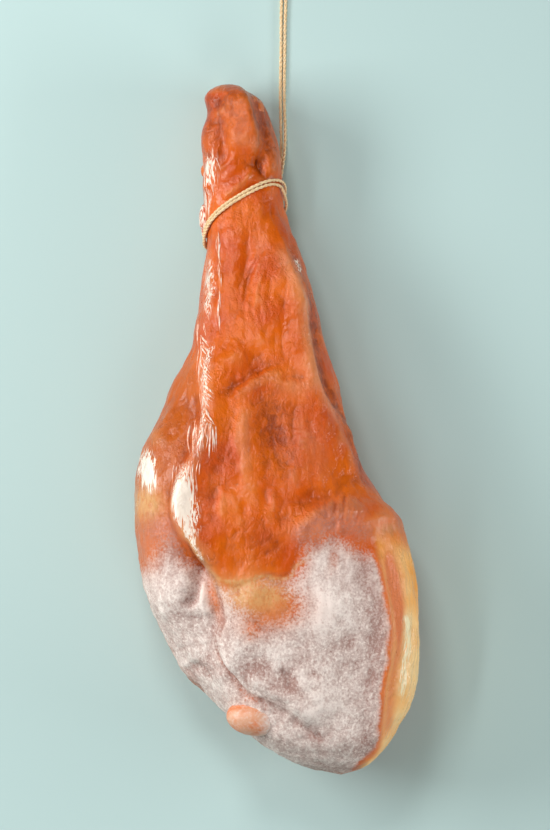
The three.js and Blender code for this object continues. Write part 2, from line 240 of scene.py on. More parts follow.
# Finer forms of the skin: (kind, height, width, path), and a step's reach. Crests and creases are sharp.
FINE_FORMS = [
    # The crests of the hock and the shank, and the folds that run in under the twine.
    ("crest", 6, 10, [
        (-14, 519), (-8, 503), (1, 482), (8, 458), (16, 432), (23, 405), (27, 382), (31, 364), (38, 346),
        (51, 327), (64, 307), (76, 289), (88, 272)]),
    ("crest", 4, 5, [(-38, 620), (-30, 606), (-25, 590), (-21, 573), (-20.5, 559), (-22, 545)]),
    ("step", 3.5, 6, [(-22, 540), (-20.5, 559), (-21, 573), (-25, 590), (-30, 606), (-38, 620)], 16),
    ("crease", 1.2, 6, [(-46, 612), (-38, 603), (-34, 590), (-31, 574)]),
    ("crest", 3, 5, [(-50, 517), (-40, 524), (-30, 533), (-21, 545)]),
    ("crest", 1.8, 4, [(-44, 513), (-34, 521), (-25, 530)]),
    ("crease", 3.5, 3.5, [(-19, 555), (-15, 545), (-11, 535)]),
    ("ridge", 3, 6, [(-9, 562), (-6, 549), (-5, 537)]),
    ("groove", 3, 6, [(-52, 594), (-50, 578), (-48, 562), (-50, 544)]),
    ("ridge", 3, 7, [(-60, 590), (-61, 574), (-62, 556)]),
    ("crest", 1.6, 3, [(-52, 543), (-44, 550), (-36, 557)]),
    ("crest", 1.2, 3, [(-50, 534), (-42, 541), (-34, 548)]),
    ("crest", 3, 4, [(-59, 556), (-61, 540), (-65, 522)]),
    # The lip at the top of the hock, over the dimple below it.
    ("crest", 3, 6, [(-66, 610), (-58, 615), (-48, 614), (-41, 606)]),
    # Tendons down the left of the shank.
    ("crest", 3.4, 2.6, [(-52, 491), (-52, 476), (-50, 448), (-51, 430), (-52, 404)]),
    ("crease", 2.6, 3, [(-55, 489), (-55, 463), (-54, 440), (-51, 420)]),
    ("crest", 2.4, 3, [(-59, 466), (-57, 430), (-53, 404)]),
    ("groove", 2, 9, [(-29, 492), (-26, 468), (-28, 444), (-33, 420), (-36, 400)]),
    ("ridge", 1.6, 6, [(-20, 461), (-17.5, 439), (-14, 424), (-6, 409)]),
    ("crease", 1.2, 3, [(-16, 402), (-12, 397), (-9, 392)]),
    # Folds and streaks of the broad face.
    ("crease", 3, 4, [(6, 372), (-8, 368), (-20, 362), (-32, 353), (-44, 345), (-54, 340)]),
    ("ridge", 2, 7, [(8, 362), (-6, 360), (-20, 352), (-32, 344), (-44, 336)]),
    ("crease", 2.2, 2.6, [(2, 355), (12, 357), (20, 357), (29, 355)]),
    ("crease", 1, 2, [(16, 322), (24, 318), (34, 317)]),
    ("crease", 1, 2, [(14, 315), (24, 311), (36, 310)]),
    ("crease", 1, 2, [(14, 307), (26, 303), (38, 303)]),
    ("crest", 1.6, 2.2, [(-31, 330), (-30, 306), (-29, 284), (-26.5, 262)]),
    ("crest", 1, 2, [(-38, 326), (-37, 303), (-37, 284)]),
    ("crease", 1.2, 2.4, [(-24, 326), (-25, 304), (-22, 280)]),
    ("crease", 1.4, 3, [(18, 336), (14, 318), (17, 300)]),
    ("crease", 1.2, 3, [(-14, 262), (-10, 246), (-14, 230), (-8, 214)]),
    ("crease", 1, 3, [(8, 252), (2, 236), (4, 222)]),
    ("crest", 1.2, 4, [(-4, 262), (-4, 240), (-10, 222)]),
    ("crease", 1.8, 2.2, [(-15, 197), (-4, 203), (5, 211)]),
    ("crease", 1.4, 2, [(-20, 205), (-10, 212), (2, 222)]),
    ("crease", 1.4, 2, [(-34, 246), (-29, 240), (-31, 232)]),
    ("crease", 1.2, 2, [(-44, 228), (-38, 220), (-40, 210)]),
    ("crease", 1.4, 2, [(-5, 238), (3, 232), (12, 234)]),
    ("crest", 1.4, 2, [(-50, 262), (-49, 246), (-51, 230)]),
    # The folds of the shoulder.
    ("crest", 2.5, 6, [(14, 212), (26, 224), (44, 240), (62, 254), (84, 260)]),
    ("crest", 2.5, 3, [(66, 221), (78, 227), (92, 231), (108, 229)]),
    ("crest", 1.8, 2.2, [(52, 222), (62, 231), (76, 240)]),
    ("crease", 1.6, 4, [(38, 216), (56, 229), (76, 238), (98, 241)]),
    ("crease", 1.4, 3, [(30, 206), (50, 216), (70, 219)]),
    ("crest", 1.2, 2.4, [(26, 212), (42, 226), (58, 236)]),
    ("crest", 1.2, 2.4, [(36, 208), (54, 220), (70, 230)]),
    # The thin end of the orange skin, and the edge of the meat.
    ("step", 1.6, 2.2, [
        (-65, 192), (-56, 178), (-44, 172), (-30, 174), (-12, 182), (4, 181), (12, 189), (16, 204),
        (27, 213), (54, 212)], 14),
    ("crest", 2, 2.4, [
        (84, 206), (90, 190), (96, 161), (99, 133), (98, 103), (94, 76), (90, 48), (88, 29), (80, 14)]),
    # The slit below the junction, the tendon beside it and the folds under it.
    ("crease", 5, 2.6, [(-83, 214), (-80, 203), (-78, 196), (-74, 186), (-70, 180)]),
    ("crest", 2.4, 2.6, [(-70, 190), (-62, 175), (-51, 157), (-48, 140)]),
    ("crease", 3.4, 2.6, [(-63, 184), (-56, 167), (-52, 152), (-52, 137), (-56, 118)]),
    ("crease", 3, 3, [(-62, 112), (-52, 95), (-44, 84), (-36, 76), (-28, 70)]),
    ("crest", 2.6, 3, [(-52, 106), (-40, 88), (-28, 76), (-8, 67), (16, 54)]),
    ("crease", 2.4, 3, [(-88, 96), (-76, 88), (-64, 78)]),
    ("crest", 2.4, 5, [(-74, 176), (-73, 156), (-70, 136)]),
    # Small creases in the bloom, and draping folds that run down to the butt end.
    ("crease", 1.8, 1.8, [(-25, 138), (-17, 135), (-12, 127)]),
    ("crest", 1.2, 2, [(-26, 131), (-19, 126), (-13, 121)]),
    ("crease", 1.4, 1.8, [(2, 95), (10, 89), (20, 83)]),
    ("crease", 1.2, 1.8, [(-14, 88), (-4, 80), (8, 73)]),
    ("crease", 1.2, 1.8, [(-82, 122), (-80, 112), (-76, 104)]),
    ("crest", 2, 6, [(14, 98), (30, 76), (50, 52)]),
    ("crease", 2, 5, [(2, 98), (16, 76), (34, 55)]),
    ("crease", 1.6, 4, [(10, 52), (26, 40), (46, 27)]),
]

# Round bulges and hollows: (height, centre, radii) and a turn where they have one.
BULGES = [
    (-5, (-2, 314), (16, 34), 0.15), (2.5, (-30, 300), (13, 40)), (3, (26, 304), (13, 28), 0.3),
    (2.5, (-32, 238), (26, 22)), (2.5, (8, 348), (18, 12), 0.2),
    (6, (-36, 573), (11, 15)), (3, (-56, 546), (6, 16)),
    (3, (-8, 546), (6, 12)), (-3, (-12, 590), (8, 14)), (2.5, (-42, 604), (7, 7)),
    (-2.5, (-28, 452), (9, 26)), (-2, (4, 424), (7, 24), 0.2), (3, (-40, 372), (13, 16)),
    (3, (-24, 150), (24, 18)), (-3, (-20, 92), (18, 14)), (3, (46, 150), (34, 34)),
    (-3, (66, 92), (16, 26)), (3, (30, 66), (22, 18), 0.4), (-2.5, (62, 226), (26, 7), 0.15),
]

# Bumps of skin and stubs of pale gristle on the outline: (centre (x, station, z), radii).
BUMPS = [
    ((-65, 543, 42), (4, 6, 8)), ((-34, 608, 50), (9, 7, 14)), ((-25, 604.5, 48), (8, 7, 13)),
    ((-18, 598, 46), (6, 9, 12)),
]
STUBS = [((-66, 500, 38), (4.5, 12, 8)), ((-65, 489, 38), (3.5, 7, 7))]

# Wrinkles in rings: (height, spacing, middle of the rings, where they show, radii).
WRINKLES = [
    (0.9, 7, (104, 233), (56, 240), (20, 14)),
    (0.6, 5, (40, 210), (20, 302), (13, 17)),
    (0.6, 6, (-60, 620), (-52, 606), (9, 8)),
    (0.5, 7, (60, 420), (-20, 440), (14, 30)),
    (0.4, 6, (-10, 300), (-16, 352), (22, 12)),
]

# Raised streaks of pale tendon, their white also painted glints: (count, width, shortest and longest,
# direction in degrees, how far it wanders, spread across, path of (x, station) that they start from).
STREAKS = [
    (8, 1, (18, 34), -90, 3, 1, [(-71, 408), (-68, 380), (-67, 352)]),
    (26, 1.9, (7, 14), -52, 9, 1.4, [(-68, 392), (-67, 368), (-66, 344), (-66, 322)]),
    (18, 1.9, (14, 30), -92, 4, 3, [(-76, 314), (-68, 316), (-61, 314), (-56, 308)]),
    (18, 0.9, (10, 24), -93, 3, 3, [(-90, 272), (-84, 280), (-76, 282), (-71, 276)]),
    (12, 0.9, (6, 14), -79, 8, 3, [(-58, 560), (-60, 544), (-63, 520)]),
    (10, 1.2, (12, 26), -88, 2, 0.8, [(-52, 489), (-52, 450), (-52, 412)]),
    (12, 1, (5, 10), -80, 6, 1.6, [(-62, 444), (-63, 420), (-66, 400)]),
    (9, 0.9, (3, 8), -76, 12, 2.5, [(-82, 232), (-76, 214), (-68, 198)]),
]
STREAK = {
    "seed": 7, "steps": 20, "bend": 0.05, "thickness": (0.6, 1.1), "tip": 0.06, "skew": 0.6, "sides": 6,
}
ABOVE_HAM = 300

# A form fades out over FORM_FADE of its path, or over FADE_WIDTHS of its widths, to FORM_END of its height.
# FACING is the range of the skin's upward slope over which forms set in, and EDGE rounds a crest's top.
FORM_FADE = 0.25
FADE_WIDTHS = 1.6
FORM_END = 0.1
BAND_FADE = 0.15
FACING = (-0.15, 0.35)
LINE_DETAIL = 6
EDGE = 0.7

# The grid that the skin is drawn on, and the small steps by which its slope is measured.
ROWS = 330
FRONT_COLUMNS = 240
BACK_COLUMNS = 60
ROW_CROWDING = 0.25
TIP_GAP = 0.1
NEAR = 0.5
NEAR_TURN = 0.01

# Hollows are told from crests by this many points round each, and over this height, for the shade
# painted into hollows and the light painted onto crests.
SURROUNDINGS = 7
RELIEF_RANGE = 3.6

# Numbers that mix a cell's place and the seed into a random value.
CELL_PRIMES = (73856093, 19349663, 83492791)
SEED_PRIME = 40503
MIXERS = ((13, 1274126177), (15, 668265263))
OCTAVE_GAIN = 0.5
CREASE_TOP = 1.1

# Noises that shift the looks and the rings of wrinkles: (largest cell, seed, octaves), and how far.
WANDER, RAGGED, SWAY, RING_SWAY = (30, 11, 4), (9, 21, 3), (24, 71, 3), (14, 81, 2)
WANDER_SHIFT, RAGGED_SHIFT, SWAY_SHIFT, RING_SHIFT = 2.5, 1.2, 3, 2
LUMP_NOISE = (61, 3)

# The skin's grain: (kind, largest cell, seed, octaves, middle value, height, height under the bloom).
RELIEF = [
    ("layered", (8, 15, 8), 31, 2, 0, 0.4, 0),
    ("layered", (22, 34, 22), 41, 3, 0, 1.9, 1.9),
    ("creased", (22, 44, 22), 91, 2, 0.5, 1.8, 0.9),
    ("creased", (8, 12, 8), 51, 3, 0.5, 0.5, 1.2),
]

# The grain sets in over these heights from the floor and is calmer on the hock, and the meat has shrunk a
# little from the face on. The twine presses the skin flat over PRESSED_WIDTH.
RELIEF_HEIGHTS = (2, 14)
HOCK_CALM = 0.5
SHRINKAGE = 2
PRESSED_FLAT = 0.85
PRESSED_WIDTH = 6

# Ranges over which looks set in: of the skin's upward slope, of the station and of the way past an edge.
SLOPES = {
    "bloom": (-0.25, 0.15), "highlight_and_gloss": (-0.05, 0.2), "marks_and_painted_light": (-0.4, 0.1), "fat": (-0.75, -0.35),
    "under": (-0.1, -0.5),
}
STATIONS = {
    "ember": (244, 216), "fat": (224, 196), "low": (190, 130), "lobe": (420, 360), "hock": (500, 540),
    "shrunk": (420, 330),
}
EDGES = {"bloom": (1.5, -5), "fat": (-1, 6), "lobe": (0, 14)}
BLOOM_START = -3
BLOOM_FADE = 12
BLOOM_FADE_MORE = [(14, 0, 30), (18, -66, -84)]
LOW_MOST = 0.7

# The twine, and the slanted plane of its two turns round the neck.
TWINE = 3
SKIN_GAP = 0.6
HITCH = {"station": 498, "per_x": 0.643, "per_z": 0.628, "samples": 240, "passes": 12}
HITCH_ROUTE = [
    (0.612, 9, 3), (0.612, 4, 3.8), (0.615, 0, 3.9), (0.625, -3, 2.4), (0.65, -5, 0.1), (0.7, -5, 0),
    (0.75, -4, 0), (0.82, -2, 0), (0.9, 0, 0), (1, 0, 0), (1.1, 0, 0), (1.2, 0, 0), (1.3, 0, 0),
    (1.4, 0, 0), (1.5, 0, 0), (1.55, 0, 0), (1.6, 0, 0), (1.62, -0.3, 0.4), (1.645, -2.2, 2.4),
    (1.665, -6.5, 3.7),
    (1.645, -10.8, 2.4), (1.62, -12.7, 0.4), (1.6, -13, 0), (1.55, -13, 0), (1.5, -12.5, 0), (1.45, -9, 0),
    (1.4, -4.6, 0), (1.3, -3.5, 0), (1.2, -3.5, 0), (1.1, -3.5, 0), (1, -3.5, 0), (0.9, -3.6, 0),
    (0.82, -5.5, 0), (0.75, -7.5, 0), (0.7, -8.4, 0), (0.66, -8.4, 0), (0.63, -8, 0.5), (0.61, -5.8, 2.4),
    (0.6, -2, 3.9), (0.596, 3, 3.8), (0.596, 9, 3),
]
LEFT_STRAND = [
    (0.7, 518.1, 16.5), (0.4, 523, 15.8), (0.6, 530, 13.8), (1.5, 538, 11), (2.5, 547, 7.8),
    (3.2, 557, 4.9), (3.4, 568, 2.8), (3.2, 581, 1.8), (2.9, 597, 1.6), (2.7, 615, 1.6), (3, 635, 1.6),
    (3.3, 655, 1.6),
    (3.3, 675, 1.6), (3.5, 692, 1.6), (3.8, 701, 1.9), (3.9, 709, 3.1), (4, 715.7, 4.3),
]
RIGHT_STRAND = [
    (3.1, 520.7, 18.9), (2.5, 526, 18.5), (2.6, 533, 16.9), (3.6, 541, 14), (5, 550, 10.3), (6.3, 560, 6.6),
    (6.9, 571, 3.9), (6.9, 584, 2.3), (6.4, 599, 1.7), (6.2, 615, 1.6), (6.4, 635, 1.6), (6.7, 655, 1.6),
    (6.9, 675, 1.6), (7.4, 692, 1.6), (7.5, 701, 1.9), (7.4, 709, 3.1), (7.3, 715.7, 4.3),
]
KNOT = {
    "centre": (5.6, 716, 5.2), "length": 14, "radius": 3.1, "turns": 2.5, "steps": 140, "unevenness": 0.12,
    "core_radius": 2.2, "core_gap": 0.8, "core_steps": 20, "core_sides": 12,
    "tail_radius": 0.46 * TWINE, "tail_steps": 30, "tail_taper": ((0, 0.85, 1), (1, 1, 0.7)),
}
KNOT_TAILS = [
    [(4.2, 726, 5), (3.9, 733, 3.8), (3, 739, 1.9), (1.2, 745, 1.6)],
    [(7, 726, 5), (7.4, 732, 3.8), (8.6, 737, 1.9), (10.6, 741, 1.6)],
]
PLY = {
    "radius": 0.3 * TWINE, "offset": 0.2 * TWINE, "pitch": 9, "sides": 10, "unevenness": 0.08,
    "uneven_length": 4,
}
FIBRE = {
    "spacing": 3, "reach": (1.5, 4), "start": 1.1, "rise": 0.5, "curl": (-0.2, 0.7), "radius": 0.07,
    "steps": 5, "sides": 3,
}
TWINE_STEP = 0.8
STRAND_DETAIL = 8
FLOOR_GAP = 0.02
UNLIKE_ANY_START = (0.3, 0.2, 1)

# The camera looks straight down on the view's middle. Its long side spans VIEW_LENGTH at VIEW_HEIGHT.
VIEW_CENTRE = (-1.2, 12.6)
VIEW_LENGTH = 747
VIEW_HEIGHT = 50
CAMERA_DISTANCE = 12000
CAMERA_CLIP = 100
SENSOR = 36

# Softboxes: (name, place, height that they point at over the middle of the floor, size, watts), in metres.
LIGHTS = [
    ("left_softbox", (-1.6, 0.4, 1.0), 0.08, (1.2, 0.6), 29),
    ("left_strip", (-0.8, 0.1, 1.5), 0.08, (1.4, 0.12), 5),
    ("right_softbox", (1.8, -0.2, 0.6), 0.08, (1.2, 0.4), 18),
    ("upper_softbox", (-0.4, 1.3, 2.0), 0.1, (0.6, 0.6), 15),
    ("lower_softbox", (0.3, -1.4, 1.6), 0.1, (1.0, 1.0), 6.5),
]
WORLD_STRENGTH = 0.085
FLOOR_REACH = 30


# Where the orange skin ends and the bloom begins, from the left side to the shoulder.
SKIN_END = [
    (-137, 192), (-126, 206), (-111, 226), (-98, 231), (-89, 222), (-81, 206), (-65, 192), (-56, 178),
    (-44, 172), (-30, 174), (-12, 182), (4, 181), (11, 190), (15, 206), (26, 218), (42, 226), (56, 226),
    (68, 218), (84, 212), (120, 212),
]
# The edge of the meat along the fat side, from the shoulder to the butt end, and a line inside the fat.
FACE_EDGE = [
    (80, 229), (84, 212), (90, 190), (96, 161), (100, 133), (98, 103), (94, 76), (91, 48), (89, 29),
    (81, 14), (67, -2),
]
FAT_EDGE = [(95, 220), (100, 192), (104, 161), (107, 133), (106, 103), (102, 76), (98, 48), (95, 29)]
# The slit below the left lobe, the streaks above it, the fold under it and the fold over the bone head.
CREVICE = [(-82, 210), (-80, 203), (-78, 196), (-74, 186), (-71, 184)]
JUNCTION = [(-53, 393), (-61, 368), (-65, 346), (-66, 326), (-66, 300), (-74, 275)]
LENS_EDGE = [(-63, 184), (-56, 167), (-52, 152), (-52, 137), (-56, 118)]
FOLD_OVER_BONE = [(-62, 112), (-52, 95), (-37, 76), (-29, 70), (-12, 64)]
# The shank's right ridge, the plane beside it, which takes painted shade, and the groove beside the flap.
RIGHT_RIDGE = [(-3, 479), (9, 452), (19, 418), (26, 382), (30, 362), (38, 344), (51, 325), (63, 306)]
SHANK_PLANE = [(7, 480), (16, 458), (27, 425), (34, 390), (38, 364), (47, 346), (60, 325)]
FLAP_GROOVE = [(25, 440), (32, 402), (41, 359), (55, 326), (69, 292), (82, 263)]

# Where each look shows, as spots (weight, centre, radii, and a turn where they have one) and bands (weight,
# width, path).
SPOTS = {
    "bare": [
        (1.0, (-18, 161), (29, 16)), (0.5, (4, 146), (26, 16), 0.2), (0.35, (-61, 159), (7, 21), 0.22),
        (0.2, (-28, 66), (13, 5), -0.2), (0.35, (-23, 130), (11, 9)), (0.3, (50, 196), (5, 11)),
        (0.5, (-74, 232), (10, 20)), (0.4, (-130, 206), (4, 22), 0.2),
    ],
    "thick": [
        (0.6, (40, 152), (26, 27)), (0.2, (-100, 172), (15, 24)), (0.5, (-70, 158), (5, 20)),
        (0.4, (42, 62), (26, 20), 0.3), (0.35, (-80, 118), (14, 20)), (0.3, (0, 112), (18, 9)),
    ],
    "thin": [
        (0.55, (90, 120), (11, 70)), (0.5, (-18, 92), (13, 11)), (0.35, (-104, 188), (20, 24)),
        (0.8, (-104, 214), (24, 18), 0.1), (0.35, (58, 116), (18, 12)), (0.5, (82, 26), (10, 16)),
        (0.35, (-86, 150), (6, 22)), (0.6, (38, 214), (34, 11), 0.2), (0.35, (80, 190), (12, 24)),
        (0.3, (-70, 96), (16, 10), -0.5), (0.35, (4, 78), (20, 12), 0.5), (0.5, (-50, 126), (10, 18)),
    ],
    "warm": [
        (1.3, (-21, 163), (30, 14)), (0.6, (-8, 145), (26, 13)), (1.2, (-123, 243), (12, 16)),
        (0.6, (-60, 150), (5, 16)), (0.5, (100, 222), (18, 8)), (0.1, (-100, 262), (22, 40)),
    ],
    # Painted shade: the hollow in the face, the hock's sides turned from the light, valleys and dimples.
    "painted_shade": [
        (1.0, (-3, 315), (17, 33), 0.2), (0.6, (-14, 602), (12, 14)), (0.35, (-42, 592), (26, 40)),
        (1.1, (-11, 580), (10, 34), 0.15), (0.55, (-62, 588), (8, 26)), (0.35, (-40, 602), (22, 14)),
        (0.3, (10, 280), (14, 20)), (0.5, (-54, 604), (8, 5)), (0.4, (-50, 572), (5, 22)),
        (0.3, (-71, 400), (4, 50)), (0.3, (-100, 312), (12, 40), -0.3), (0.35, (-24, 208), (30, 24)),
    ],
    # Painted sheen and highlights on the bulges of the face and hock and along crests.
    "painted_sheen": [
        (0.8, (-27, 303), (3.5, 32)), (0.4, (-32, 572), (8, 10)), (0.7, (20, 350), (18, 14), 0.2),
        (0.7, (32, 296), (11, 30), 0.3), (0.3, (-16, 480), (8, 14)), (0.9, (48, 224), (30, 10), 0.2),
        (0.4, (-76, 226), (8, 14)), (0.5, (-108, 212), (20, 10), 0.3),
    ],
    "mauve": [
        (0.8, (-106, 224), (20, 14), 0.2), (0.5, (-74, 292), (6, 16)), (0.55, (-61, 430), (5, 40)),
        (0.4, (-116, 214), (12, 18)), (0.4, (-32, 66), (20, 7), -0.4), (0.4, (20, 456), (5, 14), 0.4),
    ],
    # Pale tendon and fat, and painted highlights: the white blob on the roll, the lobe's highlight and glints.
    "tendon_and_highlight": [
        (1.5, (-83, 250), (8, 20), 0.12), (1.6, (-121, 273), (6, 15)), (0.6, (-59, 544), (6, 15)),
        (0.5, (-61, 436), (5, 26)), (0.45, (-64, 514), (5, 12)), (0.5, (16, 455), (3, 9), 0.3),
        (0.55, (-76, 224), (6, 12), 0.3),
    ],
    "ember": [
        (1.3, (105, 160), (8, 30)), (0.9, (-61, 157), (7, 22), 0.22), (0.5, (48, 372), (8, 40), 0.25),
        (0.8, (-8, 140), (26, 11), 0.2), (0.6, (-116, 196), (9, 16), 0.3),
    ],
}
BANDS = {
    "bare": [(0.9, 2.2, CREVICE), (0.25, 3, FOLD_OVER_BONE)],
    "thin": [(0.35, 8, [(2, 98), (14, 76), (32, 55)]), (0.35, 6, [(8, 52), (24, 40), (44, 28)])],
    "warm": [
        (0.7, 1.8, [(-66, 190), (-54, 176), (-28, 173), (-14, 179), (12, 179), (18, 190), (40, 203)]),
        (0.9, 5, [(-82, 232), (-76, 208), (-66, 187), (-52, 158)]),
        (0.3, 6, RIGHT_RIDGE[:-2]),
    ],
    "mauve": [
        (0.45, 9, [(12, 204), (28, 220), (44, 238), (64, 244), (84, 232)]),
        (1.0, 9, [(18, 204), (32, 218), (48, 227), (66, 222), (88, 214)]), (0.5, 4, JUNCTION),
    ],
    # Painted shade in grooves, the slit and folds, and on the plane beside the shank's ridge.
    "painted_shade": [
        (1.0, 4, FLAP_GROOVE), (0.5, 6, [(20, 212), (36, 230), (56, 242)]), (0.8, 4.5, SHANK_PLANE),
        (0.8, 5, [(-17, 556), (-15, 545), (-13, 532)]), (1.0, 1.6, CREVICE), (0.7, 1.8, LENS_EDGE),
        (0.6, 2.2, FOLD_OVER_BONE),
    ],
    # Painted sheen along the shank's right ridge and the hock's crest.
    "painted_sheen": [(0.9, 4, RIGHT_RIDGE), (0.3, 5, [(-34, 600), (-25, 586), (-23, 571), (-22, 556)])],
    # Pale tendon along the junction, and a painted highlight strip on the fat's side.
    "tendon_and_highlight": [
        (0.35, 3, JUNCTION), (0.5, 2.5, [(-80, 225), (-74, 206), (-66, 190)]),
        (0.8, 3, [(115, 148), (118, 112), (113, 66)]),
    ],
    "wet": [(0.8, 6, JUNCTION), (1.0, 6, [(118, 150), (119, 107), (114, 62)]), (0.3, 6, RIGHT_RIDGE)],
    "ember": [(0.5, 1.8, FACE_EDGE), (0.8, 7.5, FAT_EDGE), (0.8, 1.6, CREVICE)],
}


# Places and curves

def in_row(points):
    """Points (x, station, z) of the ham's own frame, as metres in the row's frame."""
    points = np.asarray(points, float)
    return (points + (-HAM_MIDDLE_X, -HAM_LENGTH / 2, 0)) * MM


def hermite(start, end, leaving, arriving, share):
    """The cubic from start to end that leaves and arrives with these slopes."""
    cubic = 2 * start - 2 * end + leaving + arriving
    square = -3 * start + 3 * end - 2 * leaving - arriving
    return cubic * share**3 + square * share**2 + leaving * share + start


def curve(points):
    """A smooth curve through (position, value) points that never overshoots them."""
    places, values = np.array(points, float).T
    slopes = np.diff(values) / np.diff(places)
    before, after = np.r_[slopes[0], slopes], np.r_[slopes, slopes[-1]]
    agree = before * after > 0
    tangents = np.where(agree, 2 * before * after / np.where(agree, before + after, 1), 0)

    def at(place):
        i = np.clip(np.searchsorted(places, place, side="right") - 1, 0, len(places) - 2)
        span = places[i + 1] - places[i]
        share = np.clip((place - places[i]) / span, 0, 1)
        return hermite(values[i], values[i + 1], span * tangents[i], span * tangents[i + 1], share)

    return at


def smooth(low, high, value):
    """0 up to low, 1 from high on, and a smooth step between them. High may be below low."""
    s = np.clip((value - low) / (high - low), 0, 1)
    return s * s * (3 - 2 * s)


def steps_along(last, steps):
    """Even steps along the pieces of a line from point 0 to the last: each one's piece and share of it."""
    t = np.linspace(0, last, steps + 1)
    piece = np.minimum(t.astype(int), last - 1)
    return piece, (t - piece)[:, None]


def even_line(path):
    """Points close together on a smooth line through a path."""
    points = np.asarray(path, float)
    last = len(points) - 1
    i, share = steps_along(last, LINE_DETAIL * last)
    p0, p1, p2, p3 = (points[np.clip(i + k, 0, last)] for k in (-1, 0, 1, 2))
    return hermite(p1, p2, (p2 - p0) / 2, (p3 - p1) / 2, share)


def chord_line(points, steps):
    """A smooth line through points that keeps close to its chords, with even steps from key to key."""
    points = np.asarray(points, float)
    i, share = steps_along(len(points) - 1, steps)
    points = np.vstack([2 * points[0] - points[1], points, 2 * points[-1] - points[-2]])
    p0, p1, p2, p3 = (points[i + k] for k in range(4))
    pairs = ((p0, p1), (p1, p2), (p2, p3))
    d0, d1, d2 = (np.sqrt(np.linalg.norm(b - a, axis=1))[:, None] for a, b in pairs)
    leaving = ((p1 - p0) / d0 - (p2 - p0) / (d0 + d1) + (p2 - p1) / d1) * d1
    arriving = ((p2 - p1) / d1 - (p3 - p1) / (d1 + d2) + (p3 - p2) / d2) * d1
    return hermite(p1, p2, leaving, arriving, share)


def distances_along(points):
    return np.r_[0, np.cumsum(np.linalg.norm(np.diff(points, axis=0), axis=1))]


def spaced(points, step):
    """The same line with its points at equal distances of about one step."""
    along = distances_along(points)
    places = np.linspace(0, along[-1], max(2, round(along[-1] / step) + 1))
    return np.column_stack([np.interp(places, along, axis) for axis in points.T])


def length_of(points):
    return float(np.linalg.norm(np.diff(points, axis=0), axis=1).sum())


# Seeded noise

def noise(points, seed):
    """Smooth values from -1 to 1 at points, one cell a unit."""
    cell = np.floor(points).astype(np.int64)
    part = points - cell
    part = part**3 * (part * (part * 6 - 15) + 10)
    total = np.zeros(len(points))
    for corner in itertools.product((0, 1), repeat=3):
        mixed = np.bitwise_xor.reduce((cell + corner) * CELL_PRIMES, axis=1) ^ (seed * SEED_PRIME)
        for shift, factor in MIXERS:
            mixed = ((mixed ^ (mixed >> shift)) * factor) & 0x7FFFFFFF
        value = (mixed & 0xFFFF) / 32767.5 - 1
        weight = np.prod(np.where(corner, part, 1 - part), axis=1)
        total += weight * value
    return total


def octaves_of(points, size, seed, octaves):
    """Noise at ever smaller cells, from this size down: each octave's share and its values."""
    for k in range(octaves):
        yield OCTAVE_GAIN**k, noise(points * 2**k / np.asarray(size, float), seed + k)


def layered(points, size, seed, octaves):
    """Noise in several octaves. The size is that of its largest cells, one number or one for each axis."""
    total = sum(share * values for share, values in octaves_of(points, size, seed, octaves))
    return total / sum(OCTAVE_GAIN**k for k in range(octaves))


def creased(points, size, seed, octaves):
    """Noise with sharp creases, from 0 in them to 1 between them."""
    total = sum(share * abs(values) for share, values in octaves_of(points, size, seed, octaves))
    return np.minimum(total / CREASE_TOP, 1)


# The ham's body

left_side, right_side = curve(LEFT_SIDE), curve(RIGHT_SIDE)
left_turn, right_turn = curve(LEFT_TURN), curve(RIGHT_TURN)
crown, rind = curve(CROWN), curve(RIND)
front_squareness, back_squareness = curve(FRONT_SQUARENESS), curve(BACK_SQUARENESS)


def opening(station):
    """How far the section has opened out at a station, from 0 at each end's tip to 1."""
    butt = np.minimum(station / BUTT_ROUNDING, 1)
    hock = np.minimum((HAM_LENGTH - station) / HOCK_ROUNDING, 1)
    return np.sqrt(1 - (1 - butt) ** 2) * np.sqrt(1 - (1 - hock) ** 2)


def body(station, angle):
    """The plain rounded body. The angle runs from the left side over the crown to the right and back."""
    opened = opening(station)
    middle = (left_side(station) + right_side(station)) / 2
    half = (right_side(station) - left_side(station)) / 2 * opened
    is_front = np.sin(angle) >= 0
    power = 2 / np.where(is_front, front_squareness(station), back_squareness(station))
    across = -np.sign(np.cos(angle)) * abs(np.cos(angle)) ** power
    up = abs(np.sin(angle)) ** power
    share = (across + 1) / 2
    turn = left_turn(station) * (1 - share) + right_turn(station) * share
    reach = np.where(is_front, crown(station), rind(station)) - turn
    return np.column_stack([middle + across * half, station, turn + up * reach * opened])


def outward(station, angle):
    """The direction straight out of the plain body, from the slopes between places close by."""
    low = np.maximum(station - NEAR, TIP_GAP / 2)
    high = np.minimum(station + NEAR, HAM_LENGTH - TIP_GAP / 2)
    along_leg = body(high, angle) - body(low, angle)
    around_leg = body(station, angle + NEAR_TURN) - body(station, angle - NEAR_TURN)
    normal = np.cross(around_leg, along_leg)
    return normal / np.linalg.norm(normal, axis=1)[:, None]


def from_line(x, y, path):
    """For each place: its distance from the smooth line through the path, the side it is on (1 is to the
    left, going along) and its share of the way along."""
    line = even_line(path)
    nearest = np.full(len(x), np.inf)
    side = np.ones(len(x))
    along = np.zeros(len(x))
    for i, (a, b) in enumerate(zip(line, line[1:])):
        dx, dy = b - a
        share = np.clip(((x - a[0]) * dx + (y - a[1]) * dy) / (dx * dx + dy * dy), 0, 1)
        away = np.hypot(x - a[0] - share * dx, y - a[1] - share * dy)
        closer = away < nearest
        nearest = np.where(closer, away, nearest)
        side = np.where(closer, np.where(dx * (y - a[1]) - dy * (x - a[0]) >= 0, 1, -1), side)
        along = np.where(closer, (i + share) / (len(line) - 1), along)
    return nearest, side, along


def faded_ends(along, fade):
    """1 along a line, falling to 0 over this share of it at each end."""
    return smooth(0, fade, along) * smooth(1, 1 - fade, along)


